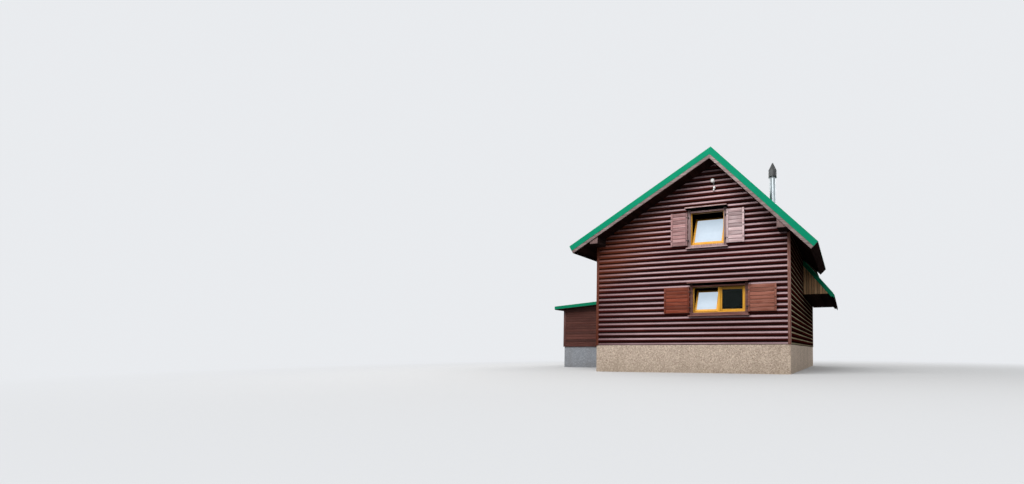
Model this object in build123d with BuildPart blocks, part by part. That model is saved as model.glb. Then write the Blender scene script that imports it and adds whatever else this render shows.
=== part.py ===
from build123d import *
from collections import namedtuple
from math import cos, radians, sin, tan
import os

os.makedirs("parts", exist_ok=True)

# Log cabin on a masonry plinth, with a gabled metal roof whose two slopes differ.
# Millimetres, Z up. The front gable looks along -Y and the ridge runs along Y.
# The origin is at ground level, in the middle of the main house.

# House body: levels are heights above the plinth or above a floor
house_width = 6900
house_length = 9100
plinth_height = 930
plinth_thickness = 300
plinth_setback = 20
slab_thickness = 150
wall_thickness = 180
floor_thickness = 180
storey_height = 2290
upper_floor_thickness = 200
eaves_height = 3557

# Half-log cladding and the boards at its corners
log_course = 175
sole_log_height = 100
log_thickness = 40
log_joint_thickness = 14
corner_board_lip = 5
corner_board_width = 95

# Roof: the ridge lies to the right of the middle, over the steeper slope
ridge_offset = 965
left_pitch = 28.8
right_pitch = 45
roof_depth = 249
left_eave_overhang = 610
right_eave_overhang = 675
porch_eave_overhang = 100
verge_overhang = 570
sheet_thickness = 6
sheet_edge_drop = 190
sheet_edge_gap = 2
barge_thickness = 30
barge_drop = 35
eave_board_thickness = 25
ridge_cap_width = 170
ridge_cap_thickness = 5
plate_width = 300
plate_depth = 195
ridge_beam_width = 160
ridge_beam_depth = 240

# Windows, by centre from the middle of the house and by sill height above the floor
upper_window_centre = 705
upper_window_width = 1200
upper_window_height = 1150
upper_sill_height = 850
lower_window_centre = 1100
lower_window_width = 1835
lower_window_height = 900
lower_sill_height = 870
frame_bar = 50
frame_depth = 70
frame_setback = 10
sash_bar = 60
sash_depth = 45
sash_clearance = 5
sash_gap = 0.3
sash_seat = 3
sash_tilt = 22
mullion_width = 60
glass_thickness = 6
casing_width = 75
casing_lip = 10
hood_reach = 200
hood_thickness = 75
hood_fall = 30
hood_lap = 8
sill_reach = 80
sill_thickness = 45
sill_fall = 10
sill_lap = 15
shelf_end = 45

# Shutters and the pins that they turn on
shutter_thickness = 34
shutter_standoff = 10
shutter_meeting_gap = 8
shutter_trim = 12
shutter_stile = 62
plank_recess = 8
hinge_offset = 40
hinge_inset = 150
pintle_radius = 7
pintle_clearance = 0.4
pintle_seat = 0.5
pintle_block = 18
eye_wall = 6
eye_height = 45
lug_thickness = 12

# Porch roof on the right side, over the rear of the wall
porch_start = 4200
porch_reach = 1190
porch_drop = 90
porch_pitch = 50.5
porch_depth = 90
porch_tip_drop = 47
porch_soffit_thickness = 25
porch_cheek_thickness = 25
porch_ledger_height = 160

# Lean-to annex at the rear left
annex_start = 3500
annex_length = 4200
annex_width = 3800
annex_wall_thickness = 120
annex_eave_height = 1690
annex_pitch = 4.2
annex_roof_depth = 144
annex_overhang = 300
annex_edge_drop = 130
annex_board_width = 110
annex_board_thickness = 22

# Stove flue through the right slope
flue_distance = 2625
flue_wall_distance = 962
flue_radius = 112
flue_wall = 25
flue_inside = 300
flue_gap = 0.3
flue_hole_gap = 20
cowl_rise = 328
cowl_radius = 155
cowl_height = 270
cowl_seat = 60
cap_height = 290
cap_tip_radius = 20
cap_folds = 16
flashing_size = 520
flashing_thickness = 4
flashing_collar = 25
flashing_height = 180

# Lamp in the front gable, and the rear door
lamp_drop = 605
lamp_centre = 925
lamp_radius = 70
lamp_depth = 60
lamp_base_radius = 45
lamp_base_depth = 60
door_width = 900
door_height = 2000
door_centre = -2100
door_thickness = 50
door_frame_bar = 60
door_setback = 60


def export(piece, name):
    """Label a finished piece and write it to its own file."""
    piece.part.label = name
    export_step(piece.part, f"parts/{name}.step")


def box_between(corner, opposite, mode=Mode.ADD):
    """Put a box between two opposite corners, into or out of the part in hand."""
    size = [abs(b - a) for a, b in zip(corner, opposite)]
    with Locations(tuple((a + b) / 2 for a, b in zip(corner, opposite))):
        Box(*size, mode=mode)


def prism(points, y_from, y_to, mode=Mode.ADD):
    """Carry a cross-section of the house, drawn in X and Z, from one y to another."""
    section_plane = Plane(origin=(0, y_from, 0), x_dir=(1, 0, 0), z_dir=(0, -1, 0))
    with BuildSketch(section_plane) as section:
        with BuildLine():
            Polyline(*points, close=True)
        make_face()
    extrude(section.sketch, amount=y_from - y_to, mode=mode)


# Main lines of the house: the core is the bare wall behind the cladding
half_width = house_width / 2
half_length = house_length / 2
corner_board_thickness = log_thickness + corner_board_lip
core_x = half_width - corner_board_thickness
core_y = half_length - corner_board_thickness
inner_x = core_x - wall_thickness
inner_y = core_y - wall_thickness
plinth_x = half_width - plinth_setback
plinth_y = half_length - plinth_setback
ground_floor_level = plinth_height + floor_thickness
upper_floor_level = ground_floor_level + storey_height

# Main lines of the roof: the ridge follows from the eaves and the right pitch
pitches = {"left": radians(left_pitch), "right": radians(right_pitch)}
slope_sides = {"left": -1, "right": 1}
ridge_height = plinth_height + eaves_height + (half_width - ridge_offset) * tan(pitches["right"])
eave_run = {
    "left": half_width + ridge_offset + left_eave_overhang,
    "right": half_width - ridge_offset + right_eave_overhang,
}
porch_run = half_width - ridge_offset + porch_eave_overhang
verge_y = half_length + verge_overhang
deck_end = verge_y - barge_thickness
porch_front = -half_length + porch_start
porch_back = deck_end


def soffit_level(x):
    """Height of the roof's underside at x."""
    pitch = pitches["left"] if x < ridge_offset else pitches["right"]
    return ridge_height - abs(x - ridge_offset) * tan(pitch)


def crest(depth):
    """Where the two slopes meet at one depth, which is measured squarely up from the soffit."""
    left, right = pitches["left"], pitches["right"]
    shift = depth * (cos(left) - cos(right)) / sin(left + right)
    return (ridge_offset + shift, ridge_height + (depth + shift * sin(left)) / cos(left))


def on_slope(name, run, depth):
    """A point squarely above the soffit, run being its level distance from the ridge."""
    pitch = pitches[name]
    return (
        ridge_offset + slope_sides[name] * (run + depth * sin(pitch)),
        ridge_height - run * tan(pitch) + depth * cos(pitch),
    )


def slope_layer(name, run, low, high):
    """Section of a layer of one slope, from the ridge to its square-cut eave."""
    return [crest(low), crest(high), on_slope(name, run, high), on_slope(name, run, low)]


def slope_band(name, run_from, run_to, low, high):
    """Section of a layer of one slope, between two level distances from the ridge."""
    return [
        on_slope(name, run_from, low),
        on_slope(name, run_from, high),
        on_slope(name, run_to, high),
        on_slope(name, run_to, low),
    ]


# Plinth, base slab and floors
with BuildPart() as plinth:
    with BuildSketch():
        Rectangle(2 * plinth_x, 2 * plinth_y)
        Rectangle(
            2 * (plinth_x - plinth_thickness),
            2 * (plinth_y - plinth_thickness),
            mode=Mode.SUBTRACT,
        )
    extrude(amount=plinth_height)
export(plinth, "plinth")

with BuildPart() as base_slab:
    with BuildSketch():
        Rectangle(2 * (plinth_x - plinth_thickness), 2 * (plinth_y - plinth_thickness))
    extrude(amount=slab_thickness)
export(base_slab, "base_slab")

floors = {
    "ground_floor": (ground_floor_level, floor_thickness),
    "upper_floor": (upper_floor_level, upper_floor_thickness),
}
for name, (level, thickness) in floors.items():
    with BuildPart() as floor:
        with BuildSketch(Plane.XY.offset(level - thickness)):
            Rectangle(2 * inner_x, 2 * inner_y)
        extrude(amount=thickness)
    export(floor, name)

# Window and door openings, the same two windows in the front and in the back
Opening = namedtuple("Opening", "centre sill width height")
upper_opening = Opening(
    upper_window_centre,
    upper_floor_level + upper_sill_height,
    upper_window_width,
    upper_window_height,
)
lower_opening = Opening(
    lower_window_centre,
    ground_floor_level + lower_sill_height,
    lower_window_width,
    lower_window_height,
)
door_opening = Opening(door_centre, ground_floor_level, door_width, door_height)
openings_of = {-1: [upper_opening, lower_opening], 1: [upper_opening, lower_opening, door_opening]}


def cut_openings(openings, y_from, y_to, margin=0):
    """Cut openings, widened all round by a margin, out of the part in hand."""
    for opening in openings:
        half = opening.width / 2 + margin
        box_between(
            (opening.centre - half, y_from, opening.sill - margin),
            (opening.centre + half, y_to, opening.sill + opening.height + margin),
            mode=Mode.SUBTRACT,
        )


# Wall plates on the side walls, running out under the verges, and the ridge beam
def plate_bottom(side):
    """Underside of the wall plate on one side; its depth is that of its middle."""
    return soffit_level(side * (core_x - plate_width / 2)) - plate_depth


def plate_section(side):
    outer = side * core_x
    inner = side * (core_x - plate_width)
    return [
        (outer, plate_bottom(side)),
        (outer, soffit_level(outer)),
        (inner, soffit_level(inner)),
        (inner, plate_bottom(side)),
    ]


with BuildPart() as wall_plates:
    for side in (-1, 1):
        prism(plate_section(side), -deck_end, deck_end)
export(wall_plates, "wall_plates")

with BuildPart() as ridge_beam:
    beam_left = ridge_offset - ridge_beam_width / 2
    beam_right = ridge_offset + ridge_beam_width / 2
    beam_bottom = soffit_level(beam_right) - ridge_beam_depth
    beam_section = [
        (beam_left, beam_bottom),
        (beam_left, soffit_level(beam_left)),
        (ridge_offset, ridge_height),
        (beam_right, soffit_level(beam_right)),
        (beam_right, beam_bottom),
    ]
    prism(beam_section, -inner_y, inner_y)
export(ridge_beam, "ridge_beam")


# Walls behind the cladding
def gable_section(edge):
    """Outline of a gable between two equal edges, from the plinth up to the soffit."""
    return [
        (-edge, plinth_height),
        (-edge, soffit_level(-edge)),
        (ridge_offset, ridge_height),
        (edge, soffit_level(edge)),
        (edge, plinth_height),
    ]


for name, facing in (("front_wall", -1), ("back_wall", 1)):
    with BuildPart() as gable_wall:
        prism(gable_section(core_x), facing * inner_y, facing * core_y)
        for side in (-1, 1):
            prism(plate_section(side), facing * inner_y, facing * core_y, mode=Mode.SUBTRACT)
        cut_openings(openings_of[facing], facing * inner_y, facing * core_y)
    export(gable_wall, name)

for name, side in (("left_wall", -1), ("right_wall", 1)):
    with BuildPart() as side_wall:
        box_between(
            (side * inner_x, -inner_y, plinth_height), (side * core_x, inner_y, plate_bottom(side))
        )
    export(side_wall, name)

# Porch roof lines: a steep deck from the side wall, over a level soffit
porch_slope = radians(porch_pitch)
porch_top = soffit_level(half_width) - porch_drop
porch_tip_x = half_width + porch_reach


def porch_surface(x, depth):
    """Height in the porch roof at x, depth being measured squarely down from its top."""
    return porch_top - (x - half_width) * tan(porch_slope) - depth / cos(porch_slope)


porch_soffit_level = porch_surface(porch_tip_x, 0) + porch_tip_drop
porch_ledger_levels = [
    porch_surface(half_width, sheet_thickness) - porch_ledger_height,
    porch_soffit_level - porch_soffit_thickness,
]


def porch_ledger_boxes(mode=Mode.ADD):
    """The two timbers on the wall that carry the deck and the soffit of the porch."""
    for level in porch_ledger_levels:
        box_between(
            (core_x, porch_front, level),
            (half_width, log_end_y, level + porch_ledger_height),
            mode=mode,
        )


# Half-log cladding: one low sole log, then full courses up to the roof
first_course_level = plinth_height + sole_log_height
log_end_x = half_width - corner_board_width
log_end_y = half_length - corner_board_width


def log_joints(top):
    """Heights of the joints between the logs, the last one at or above the top."""
    joints = [plinth_height, first_course_level]
    while joints[-1] < top:
        joints.append(joints[-1] + log_course)
    return joints


def log_skin(section_plane, length, top):
    """Add a wall of logs to the part in hand, drawn in reach and height."""
    joints = log_joints(top)
    with BuildSketch(section_plane) as section:
        with BuildLine():
            for low, high in zip(joints, joints[1:]):
                ThreePointArc(
                    (log_joint_thickness, low),
                    (log_thickness, (low + high) / 2),
                    (log_joint_thickness, high),
                )
            Polyline(
                (log_joint_thickness, joints[-1]),
                (0, joints[-1]),
                (0, joints[0]),
                (log_joint_thickness, joints[0]),
            )
        make_face()
    extrude(section.sketch, amount=length)


def gable_plane(facing, x):
    """Section plane at x, drawn in reach out of a gable's bare wall and in height."""
    return Plane(origin=(x, facing * core_y, 0), x_dir=(0, facing, 0), z_dir=(facing, 0, 0))


for name, facing in (("front_logs", -1), ("back_logs", 1)):
    wall_face = facing * core_y
    log_face = facing * (core_y + log_thickness)
    with BuildPart() as gable_logs:
        log_skin(gable_plane(facing, -facing * log_end_x), 2 * log_end_x, ridge_height)
        prism(gable_section(log_end_x), wall_face, log_face, mode=Mode.INTERSECT)
        for side in (-1, 1):
            prism(plate_section(side), wall_face, log_face, mode=Mode.SUBTRACT)
        cut_openings(openings_of[facing], wall_face, log_face, casing_width)
    export(gable_logs, name)

with BuildPart() as side_logs:
    for side in (-1, 1):
        section_plane = Plane(
            origin=(side * core_x, side * log_end_y, 0), x_dir=(side, 0, 0), z_dir=(0, -side, 0)
        )
        top = plate_bottom(side)
        log_skin(section_plane, 2 * log_end_y, top)
        box_between(
            (side * core_x, -log_end_y, top),
            (side * half_width, log_end_y, top + log_course),
            mode=Mode.SUBTRACT,
        )
    porch_ledger_boxes(mode=Mode.SUBTRACT)
export(side_logs, "side_logs")

with BuildPart() as porch_ledger:
    porch_ledger_boxes()
export(porch_ledger, "porch_ledger")


def corner_angle(x_side, y_side, corner_x, corner_y, low, high, width, thickness):
    """Add two boards that cover an outer corner, as one L-shaped upright."""
    for reach_x, reach_y in ((width, thickness), (thickness, width)):
        box_between(
            (corner_x, corner_y, low),
            (corner_x - x_side * reach_x, corner_y - y_side * reach_y, high),
        )


with BuildPart() as corner_boards:
    for x_side in (-1, 1):
        for y_side in (-1, 1):
            corner_angle(
                x_side,
                y_side,
                x_side * half_width,
                y_side * half_length,
                plinth_height,
                plate_bottom(x_side),
                corner_board_width,
                corner_board_thickness,
            )
export(corner_boards, "corner_boards")

# Roof decks, metal sheets with folded edges, ridge cap and edge boards
flue_x = half_width - flue_wall_distance
flue_y = -half_length + flue_distance
cowl_level = ridge_height + cowl_rise
roof_top = roof_depth + sheet_thickness


def cut_flue_hole():
    """Cut the flue's hole through the part in hand."""
    with Locations((flue_x, flue_y, cowl_level / 2)):
        Cylinder(flue_radius + flue_hole_gap, cowl_level, mode=Mode.SUBTRACT)


# Behind the porch's front the right slope stops just past the wall, over the porch roof
for name in slope_sides:
    back_run = porch_run if name == "right" else eave_run[name]
    with BuildPart() as roof_deck:
        prism(slope_layer(name, back_run, 0, roof_depth), -deck_end, deck_end)
        if name == "right":
            wide_part = slope_band(name, back_run, eave_run[name], 0, roof_depth)
            prism(wide_part, -deck_end, porch_front - eave_board_thickness)
            cut_flue_hole()
    export(roof_deck, f"{name}_roof_deck")

sheet_fold = sheet_edge_gap + sheet_thickness


def add_sheet(section, y_from, y_to):
    """Add a piece of the metal sheet that laps over the boards at both of its ends."""
    prism(section, y_from - sheet_fold, y_to + sheet_fold)


def add_sheet_edge(section, edge, side):
    """Add the upright edge of the sheet, which hangs just clear of a board."""
    edge_face = edge + side * sheet_edge_gap
    prism(section, edge_face, edge_face + side * sheet_thickness)


for name in slope_sides:
    front_run = eave_run[name] + eave_board_thickness
    back_run = (porch_run if name == "right" else eave_run[name]) + eave_board_thickness
    edge_low = roof_top - sheet_edge_drop
    with BuildPart() as roof_sheet:
        add_sheet(slope_layer(name, back_run, roof_depth, roof_top), -verge_y, verge_y)
        add_sheet_edge(slope_layer(name, front_run, edge_low, roof_top), -verge_y, -1)
        add_sheet_edge(slope_layer(name, back_run, edge_low, roof_top), verge_y, 1)
        if name == "right":
            wide_sheet = slope_band(name, back_run, front_run, roof_depth, roof_top)
            add_sheet(wide_sheet, -verge_y, porch_front)
            add_sheet_edge(
                slope_band(name, back_run, front_run, edge_low, roof_top), porch_front, 1
            )
            cut_flue_hole()
    export(roof_sheet, f"{name}_roof_sheet")

with BuildPart() as ridge_cap:
    cap_top = roof_top + ridge_cap_thickness
    cap_section = [
        crest(roof_top),
        on_slope("left", ridge_cap_width, roof_top),
        on_slope("left", ridge_cap_width, cap_top),
        crest(cap_top),
        on_slope("right", ridge_cap_width, cap_top),
        on_slope("right", ridge_cap_width, roof_top),
    ]
    prism(cap_section, -verge_y, verge_y)
export(ridge_cap, "ridge_cap")

for name in slope_sides:
    board_runs = {-1: eave_run[name], 1: porch_run if name == "right" else eave_run[name]}
    with BuildPart() as barge_boards:
        for side, run in board_runs.items():
            prism(
                slope_layer(name, run + eave_board_thickness, -barge_drop, roof_depth),
                side * deck_end,
                side * verge_y,
            )
    export(barge_boards, f"{name}_barge_boards")


def add_eave_board(name, run, y_from, y_to):
    """Add the board that closes the foot of a slope, square to the slope."""
    section = slope_band(name, run, run + eave_board_thickness, -barge_drop, roof_depth)
    prism(section, y_from, y_to)


with BuildPart() as eave_boards:
    add_eave_board("left", eave_run["left"], -deck_end, deck_end)
    add_eave_board("right", eave_run["right"], -deck_end, porch_front - eave_board_thickness)
    add_eave_board("right", porch_run, porch_front, deck_end)
    return_run = eave_run["right"] + eave_board_thickness
    return_board = slope_band("right", porch_run, return_run, -barge_drop, roof_depth)
    prism(return_board, porch_front - eave_board_thickness, porch_front)
export(eave_boards, "eave_boards")

# Porch roof: deck, metal sheet with folded edges, level soffit and boarded ends
def porch_layer(x_to, low, high):
    """Section of a layer of the porch roof, from the wall to an upright cut at x_to."""
    return [
        (half_width, porch_surface(half_width, high)),
        (x_to, porch_surface(x_to, high)),
        (x_to, porch_surface(x_to, low)),
        (half_width, porch_surface(half_width, low)),
    ]


with BuildPart() as porch_roof:
    prism(porch_layer(porch_tip_x, porch_depth, sheet_thickness), porch_front, porch_back)
export(porch_roof, "porch_roof")

with BuildPart() as porch_sheet:
    sheet_tip_x = porch_tip_x + sheet_fold
    add_sheet(porch_layer(sheet_tip_x, sheet_thickness, 0), porch_front, porch_back)
    for side, edge in ((-1, porch_front), (1, porch_back)):
        add_sheet_edge(porch_layer(sheet_tip_x, porch_depth, 0), edge, side)
export(porch_sheet, "porch_sheet")

soffit_tip_x = porch_tip_x - (porch_tip_drop + porch_depth / cos(porch_slope)) / tan(porch_slope)
with BuildPart() as porch_soffit:
    box_between(
        (half_width, porch_front, porch_soffit_level - porch_soffit_thickness),
        (soffit_tip_x, porch_back, porch_soffit_level),
    )
export(porch_soffit, "porch_soffit")

with BuildPart() as porch_cheeks:
    cheek_section = [
        (half_width, porch_surface(half_width, porch_depth)),
        (soffit_tip_x, porch_soffit_level),
        (half_width, porch_soffit_level),
    ]
    prism(cheek_section, porch_front, porch_front + porch_cheek_thickness)
    prism(cheek_section, porch_back - porch_cheek_thickness, porch_back)
export(porch_cheeks, "porch_cheeks")

# Lean-to annex against the left wall
annex_front = -half_length + annex_start
annex_back = annex_front + annex_length
annex_left = -half_width - annex_width
annex_slope = radians(annex_pitch)
annex_roof_edge = annex_left - annex_overhang


def annex_ceiling(x, depth=0):
    """Underside of the annex roof at x, or a layer squarely above it."""
    eave_level = plinth_height + annex_eave_height
    return eave_level + (x - annex_left) * tan(annex_slope) + depth / cos(annex_slope)


def annex_layer(x_from, low, high):
    """Section of a layer of the annex roof, from its eave to the house."""
    return [
        (x_from, annex_ceiling(x_from, low)),
        (x_from, annex_ceiling(x_from, high)),
        (-half_width, annex_ceiling(-half_width, high)),
        (-half_width, annex_ceiling(-half_width, low)),
    ]


with BuildPart() as annex_plinth:
    box_between(
        (annex_left + plinth_setback, annex_front + plinth_setback, 0),
        (-plinth_x, annex_back - plinth_setback, plinth_height),
    )
    box_between(
        (
            annex_left + plinth_setback + plinth_thickness,
            annex_front + plinth_setback + plinth_thickness,
            slab_thickness,
        ),
        (-plinth_x, annex_back - plinth_setback - plinth_thickness, plinth_height),
        mode=Mode.SUBTRACT,
    )
export(annex_plinth, "annex_plinth")

annex_inner_left = annex_left + annex_wall_thickness
annex_inner_front = annex_front + annex_wall_thickness
annex_inner_back = annex_back - annex_wall_thickness
with BuildPart() as annex_floor:
    box_between(
        (annex_inner_left, annex_inner_front, plinth_height),
        (-half_width, annex_inner_back, ground_floor_level),
    )
export(annex_floor, "annex_floor")


def annex_outline(x_from):
    """Cross-section of the annex above its plinth, from x_from to the house."""
    return [
        (x_from, plinth_height),
        (x_from, annex_ceiling(x_from)),
        (-half_width, annex_ceiling(-half_width)),
        (-half_width, plinth_height),
    ]


with BuildPart() as annex_walls:
    prism(annex_outline(annex_left), annex_front, annex_back)
    prism(
        annex_outline(annex_inner_left), annex_inner_front, annex_inner_back, mode=Mode.SUBTRACT
    )
export(annex_walls, "annex_walls")

with BuildPart() as annex_corner_boards:
    for y_side, corner_y in ((-1, annex_front), (1, annex_back)):
        corner_angle(
            -1,
            y_side,
            annex_left - annex_board_thickness,
            corner_y + y_side * annex_board_thickness,
            plinth_height,
            annex_ceiling(annex_left - annex_board_thickness),
            annex_board_width,
            annex_board_thickness,
        )
export(annex_corner_boards, "annex_corner_boards")

annex_verges = {-1: annex_front - annex_overhang, 1: annex_back + annex_overhang}
with BuildPart() as annex_roof:
    prism(annex_layer(annex_roof_edge, 0, annex_roof_depth), annex_verges[-1], annex_verges[1])
export(annex_roof, "annex_roof")

with BuildPart() as annex_sheet:
    sheet_top = annex_roof_depth + sheet_thickness
    sheet_edge_x = annex_roof_edge - sheet_fold
    edge_section = annex_layer(sheet_edge_x, sheet_top - annex_edge_drop, sheet_top)
    top_section = annex_layer(sheet_edge_x, annex_roof_depth, sheet_top)
    add_sheet(top_section, annex_verges[-1], annex_verges[1])
    for side, verge in annex_verges.items():
        add_sheet_edge(edge_section, verge, side)
    eave_fold = edge_section[:2]
    eave_fold += [(x + sheet_thickness, z) for x, z in reversed(eave_fold)]
    add_sheet(eave_fold, annex_verges[-1], annex_verges[1])
export(annex_sheet, "annex_sheet")

# Stove flue through the right slope: pipe, roof flashing and capped cowl
right_slope = pitches["right"]
flue_roof_level = soffit_level(flue_x) + roof_top / cos(right_slope)
flue_foot = soffit_level(flue_x) - flue_inside


def upright(z):
    """Level plane at z, centred on the flue."""
    return Plane(origin=(flue_x, flue_y, z))


with BuildPart() as flue_pipe:
    with BuildSketch(upright(flue_foot)):
        Circle(flue_radius)
        Circle(flue_radius - flue_wall, mode=Mode.SUBTRACT)
    extrude(amount=cowl_level + cowl_seat - flue_foot)
export(flue_pipe, "flue_pipe")

# The cowl's drum sits on the pipe, under a pointed cap that is folded from flat sheet
with BuildPart() as flue_cowl:
    with BuildSketch(upright(cowl_level)):
        Circle(cowl_radius)
    extrude(amount=cowl_height)
    with BuildSketch(upright(cowl_level)):
        Circle(flue_radius + flue_gap)
    extrude(amount=cowl_seat + flue_gap, mode=Mode.SUBTRACT)
    with BuildSketch(upright(cowl_level + cowl_height)):
        RegularPolygon(cowl_radius, cap_folds)
    with BuildSketch(upright(cowl_level + cowl_height + cap_height)):
        RegularPolygon(cap_tip_radius, cap_folds)
    loft()
export(flue_cowl, "flue_cowl")

# The flashing's collar stands on a plate that lies on the right slope
with BuildPart() as flue_flashing:
    plate_run = flue_x - ridge_offset - roof_top * sin(right_slope)
    half_plate = flashing_size / 2 * cos(right_slope)
    collar_radius = flue_radius + flashing_collar
    with BuildSketch(upright(flue_foot)):
        Circle(collar_radius)
    extrude(amount=flue_roof_level + flashing_height - flue_foot)
    prism(
        slope_layer("right", half_width, -half_width, roof_top),
        flue_y - flashing_size,
        flue_y + flashing_size,
        mode=Mode.SUBTRACT,
    )
    plate_corners = [
        on_slope("right", plate_run - half_plate, roof_top),
        on_slope("right", plate_run - half_plate, roof_top + flashing_thickness),
        on_slope("right", plate_run + half_plate, roof_top + flashing_thickness),
        on_slope("right", plate_run + half_plate, roof_top),
    ]
    prism(plate_corners, flue_y - flashing_size / 2, flue_y + flashing_size / 2)
    with BuildSketch(upright(flue_foot)):
        Circle(flue_radius + flue_gap)
    extrude(amount=cowl_level - flue_foot, mode=Mode.SUBTRACT)
export(flue_flashing, "flue_flashing")

# Windows: frames in the wall, sashes with panes, and the casings around them
casing_thickness = log_thickness + casing_lip
frame_outer = core_y - frame_setback
frame_inner = frame_outer - frame_depth


def facing_plane(facing, centre, reach, z, tilt=0):
    """Upright plane on a gable, at a distance from the middle, leaning back by tilt."""
    lean = radians(tilt)
    return Plane(
        origin=(centre, facing * reach, z),
        x_dir=(-facing, 0, 0),
        z_dir=(0, facing * cos(lean), sin(lean)),
    )


def standing_frame(plane, width, height, bar, depth):
    """Add a rectangular frame that stands on the plane's origin."""
    with BuildSketch(plane) as section:
        with Locations((0, height / 2)):
            Rectangle(width, height)
            Rectangle(width - 2 * bar, height - 2 * bar, mode=Mode.SUBTRACT)
    extrude(section.sketch, amount=depth)


def standing_panel(plane, width, low, high, depth, mode=Mode.ADD):
    """Add or cut a rectangular panel between two heights above the plane's origin."""
    with BuildSketch(plane) as section:
        with Locations((0, (low + high) / 2)):
            Rectangle(width, high - low)
    extrude(section.sketch, amount=depth, mode=mode)


def light_width(opening, lights):
    """Clear width of each light of a window, between its frame and mullions."""
    return (opening.width - 2 * frame_bar - (lights - 1) * mullion_width) / lights


def light_offsets(opening, lights):
    """Middles of a window's lights, from its centre and to the viewer's right."""
    pitch = light_width(opening, lights) + mullion_width
    return [(i - (lights - 1) / 2) * pitch for i in range(lights)]


def add_window_frame(facing, opening, lights):
    plane = facing_plane(facing, opening.centre, frame_inner, opening.sill)
    standing_frame(plane, opening.width, opening.height, frame_bar, frame_depth)
    offsets = light_offsets(opening, lights)
    for left, right in zip(offsets, offsets[1:]):
        bar_plane = plane.shift_origin(plane.from_local_coords((-(left + right) / 2, 0, 0)))
        standing_panel(
            bar_plane, mullion_width, frame_bar, opening.height - frame_bar, frame_depth
        )


def sash_plane(facing, opening, offset, tilt):
    """Plane of a sash's inner face, its bottom edge seated on the frame."""
    bottom = opening.sill + frame_bar + sash_gap
    return facing_plane(facing, opening.centre + offset, frame_inner + sash_seat, bottom, tilt)


sash_cut = 2 * frame_bar + sash_gap + sash_clearance


def add_sash(facing, opening, lights, offset, tilt):
    width = light_width(opening, lights) - 2 * sash_clearance
    plane = sash_plane(facing, opening, offset, tilt)
    standing_frame(plane, width, opening.height - sash_cut, sash_bar, sash_depth)


def add_pane(facing, opening, lights, offset, tilt):
    width = light_width(opening, lights) - 2 * sash_clearance - 2 * sash_bar
    plane = sash_plane(facing, opening, offset, tilt).offset((sash_depth - glass_thickness) / 2)
    top = opening.height - sash_cut - sash_bar
    standing_panel(plane, width, sash_bar, top, glass_thickness)


def add_shelf(facing, opening, low, thickness, fall, reach):
    """Add a board that stands out over the casing, its top falling outwards."""
    half = opening.width / 2 + casing_width + shelf_end
    edge = casing_thickness + reach
    with BuildSketch(gable_plane(facing, opening.centre - facing * half)) as section:
        with BuildLine():
            Polyline(
                (log_thickness, low),
                (edge, low),
                (edge, low + thickness - fall),
                (log_thickness, low + thickness),
                close=True,
            )
        make_face()
    extrude(section.sketch, amount=2 * half)


def add_trim(facing, opening):
    """Add a window's casing with its hood and sill."""
    plane = facing_plane(facing, opening.centre, core_y, opening.sill - casing_width)
    outer_width = opening.width + 2 * casing_width
    outer_height = opening.height + 2 * casing_width
    standing_frame(plane, outer_width, outer_height, casing_width, casing_thickness)
    hood_low = opening.sill + opening.height + casing_width - hood_lap
    add_shelf(facing, opening, hood_low, hood_thickness, hood_fall, hood_reach)
    sill_low = opening.sill - casing_width + sill_lap - sill_thickness
    add_shelf(facing, opening, sill_low, sill_thickness, sill_fall, sill_reach)


# Tilt of each sash of a window, from the smaller x to the larger: some stand open
front_tilts = {upper_opening: [sash_tilt], lower_opening: [sash_tilt, 0]}
back_tilts = {upper_opening: [0], lower_opening: [0, 0]}
tilts_of = {-1: front_tilts, 1: back_tilts}

for prefix, facing in (("front", -1), ("back", 1)):
    with BuildPart() as window_frames:
        for opening, tilts in tilts_of[facing].items():
            add_window_frame(facing, opening, len(tilts))
    export(window_frames, f"{prefix}_window_frames")

    with BuildPart() as window_trim:
        for opening in tilts_of[facing]:
            add_trim(facing, opening)
    export(window_trim, f"{prefix}_window_trim")

for name, add_leaf in (("window_sashes", add_sash), ("window_glass", add_pane)):
    with BuildPart() as leaves:
        for facing, tilts_by_opening in tilts_of.items():
            for opening, tilts in tilts_by_opening.items():
                for offset, tilt in zip(light_offsets(opening, len(tilts)), tilts):
                    add_leaf(facing, opening, len(tilts), offset, tilt)
    export(leaves, name)

# Shutters: planks between two stiles, on pins beside the window; the rear ones are fixed open
shutter_back = core_y + casing_thickness + shutter_standoff
hinge_reach = shutter_back + shutter_thickness / 2


def hinge_x(opening, side):
    return opening.centre + side * (opening.width / 2 + hinge_offset)


def hinge_levels(opening):
    """Bottoms of the two hinge lugs of a shutter."""
    low = opening.sill + shutter_trim + hinge_inset
    high = opening.sill + opening.height - shutter_trim - hinge_inset - eye_height
    return [low, high]


def add_shutter(facing, opening, side, hung):
    """Add one open shutter, side being +1 for the one at greater x."""
    width = (opening.width - shutter_meeting_gap) / 2
    height = opening.height - 2 * shutter_trim
    axis_x = hinge_x(opening, side)
    edge_x = axis_x + side * hinge_offset
    bottom = opening.sill + shutter_trim
    face = facing_plane(facing, edge_x + side * width / 2, shutter_back, bottom)
    standing_panel(face, width, 0, height, shutter_thickness)
    front_face = face.offset(shutter_thickness)
    planks = width - 2 * shutter_stile
    standing_panel(front_face, planks, 0, height, -plank_recess, mode=Mode.SUBTRACT)
    for level in hinge_levels(opening):
        box_between(
            (axis_x, facing * hinge_reach - lug_thickness / 2, level),
            (edge_x, facing * hinge_reach + lug_thickness / 2, level + eye_height),
        )
        if hung:
            eye = Plane(origin=(axis_x, facing * hinge_reach, level))
            with BuildSketch(eye) as section:
                Circle(pintle_radius + eye_wall)
            extrude(section.sketch, amount=eye_height)
            with BuildSketch(eye) as section:
                Circle(pintle_radius + pintle_clearance)
            extrude(section.sketch, amount=eye_height, mode=Mode.SUBTRACT)


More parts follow.
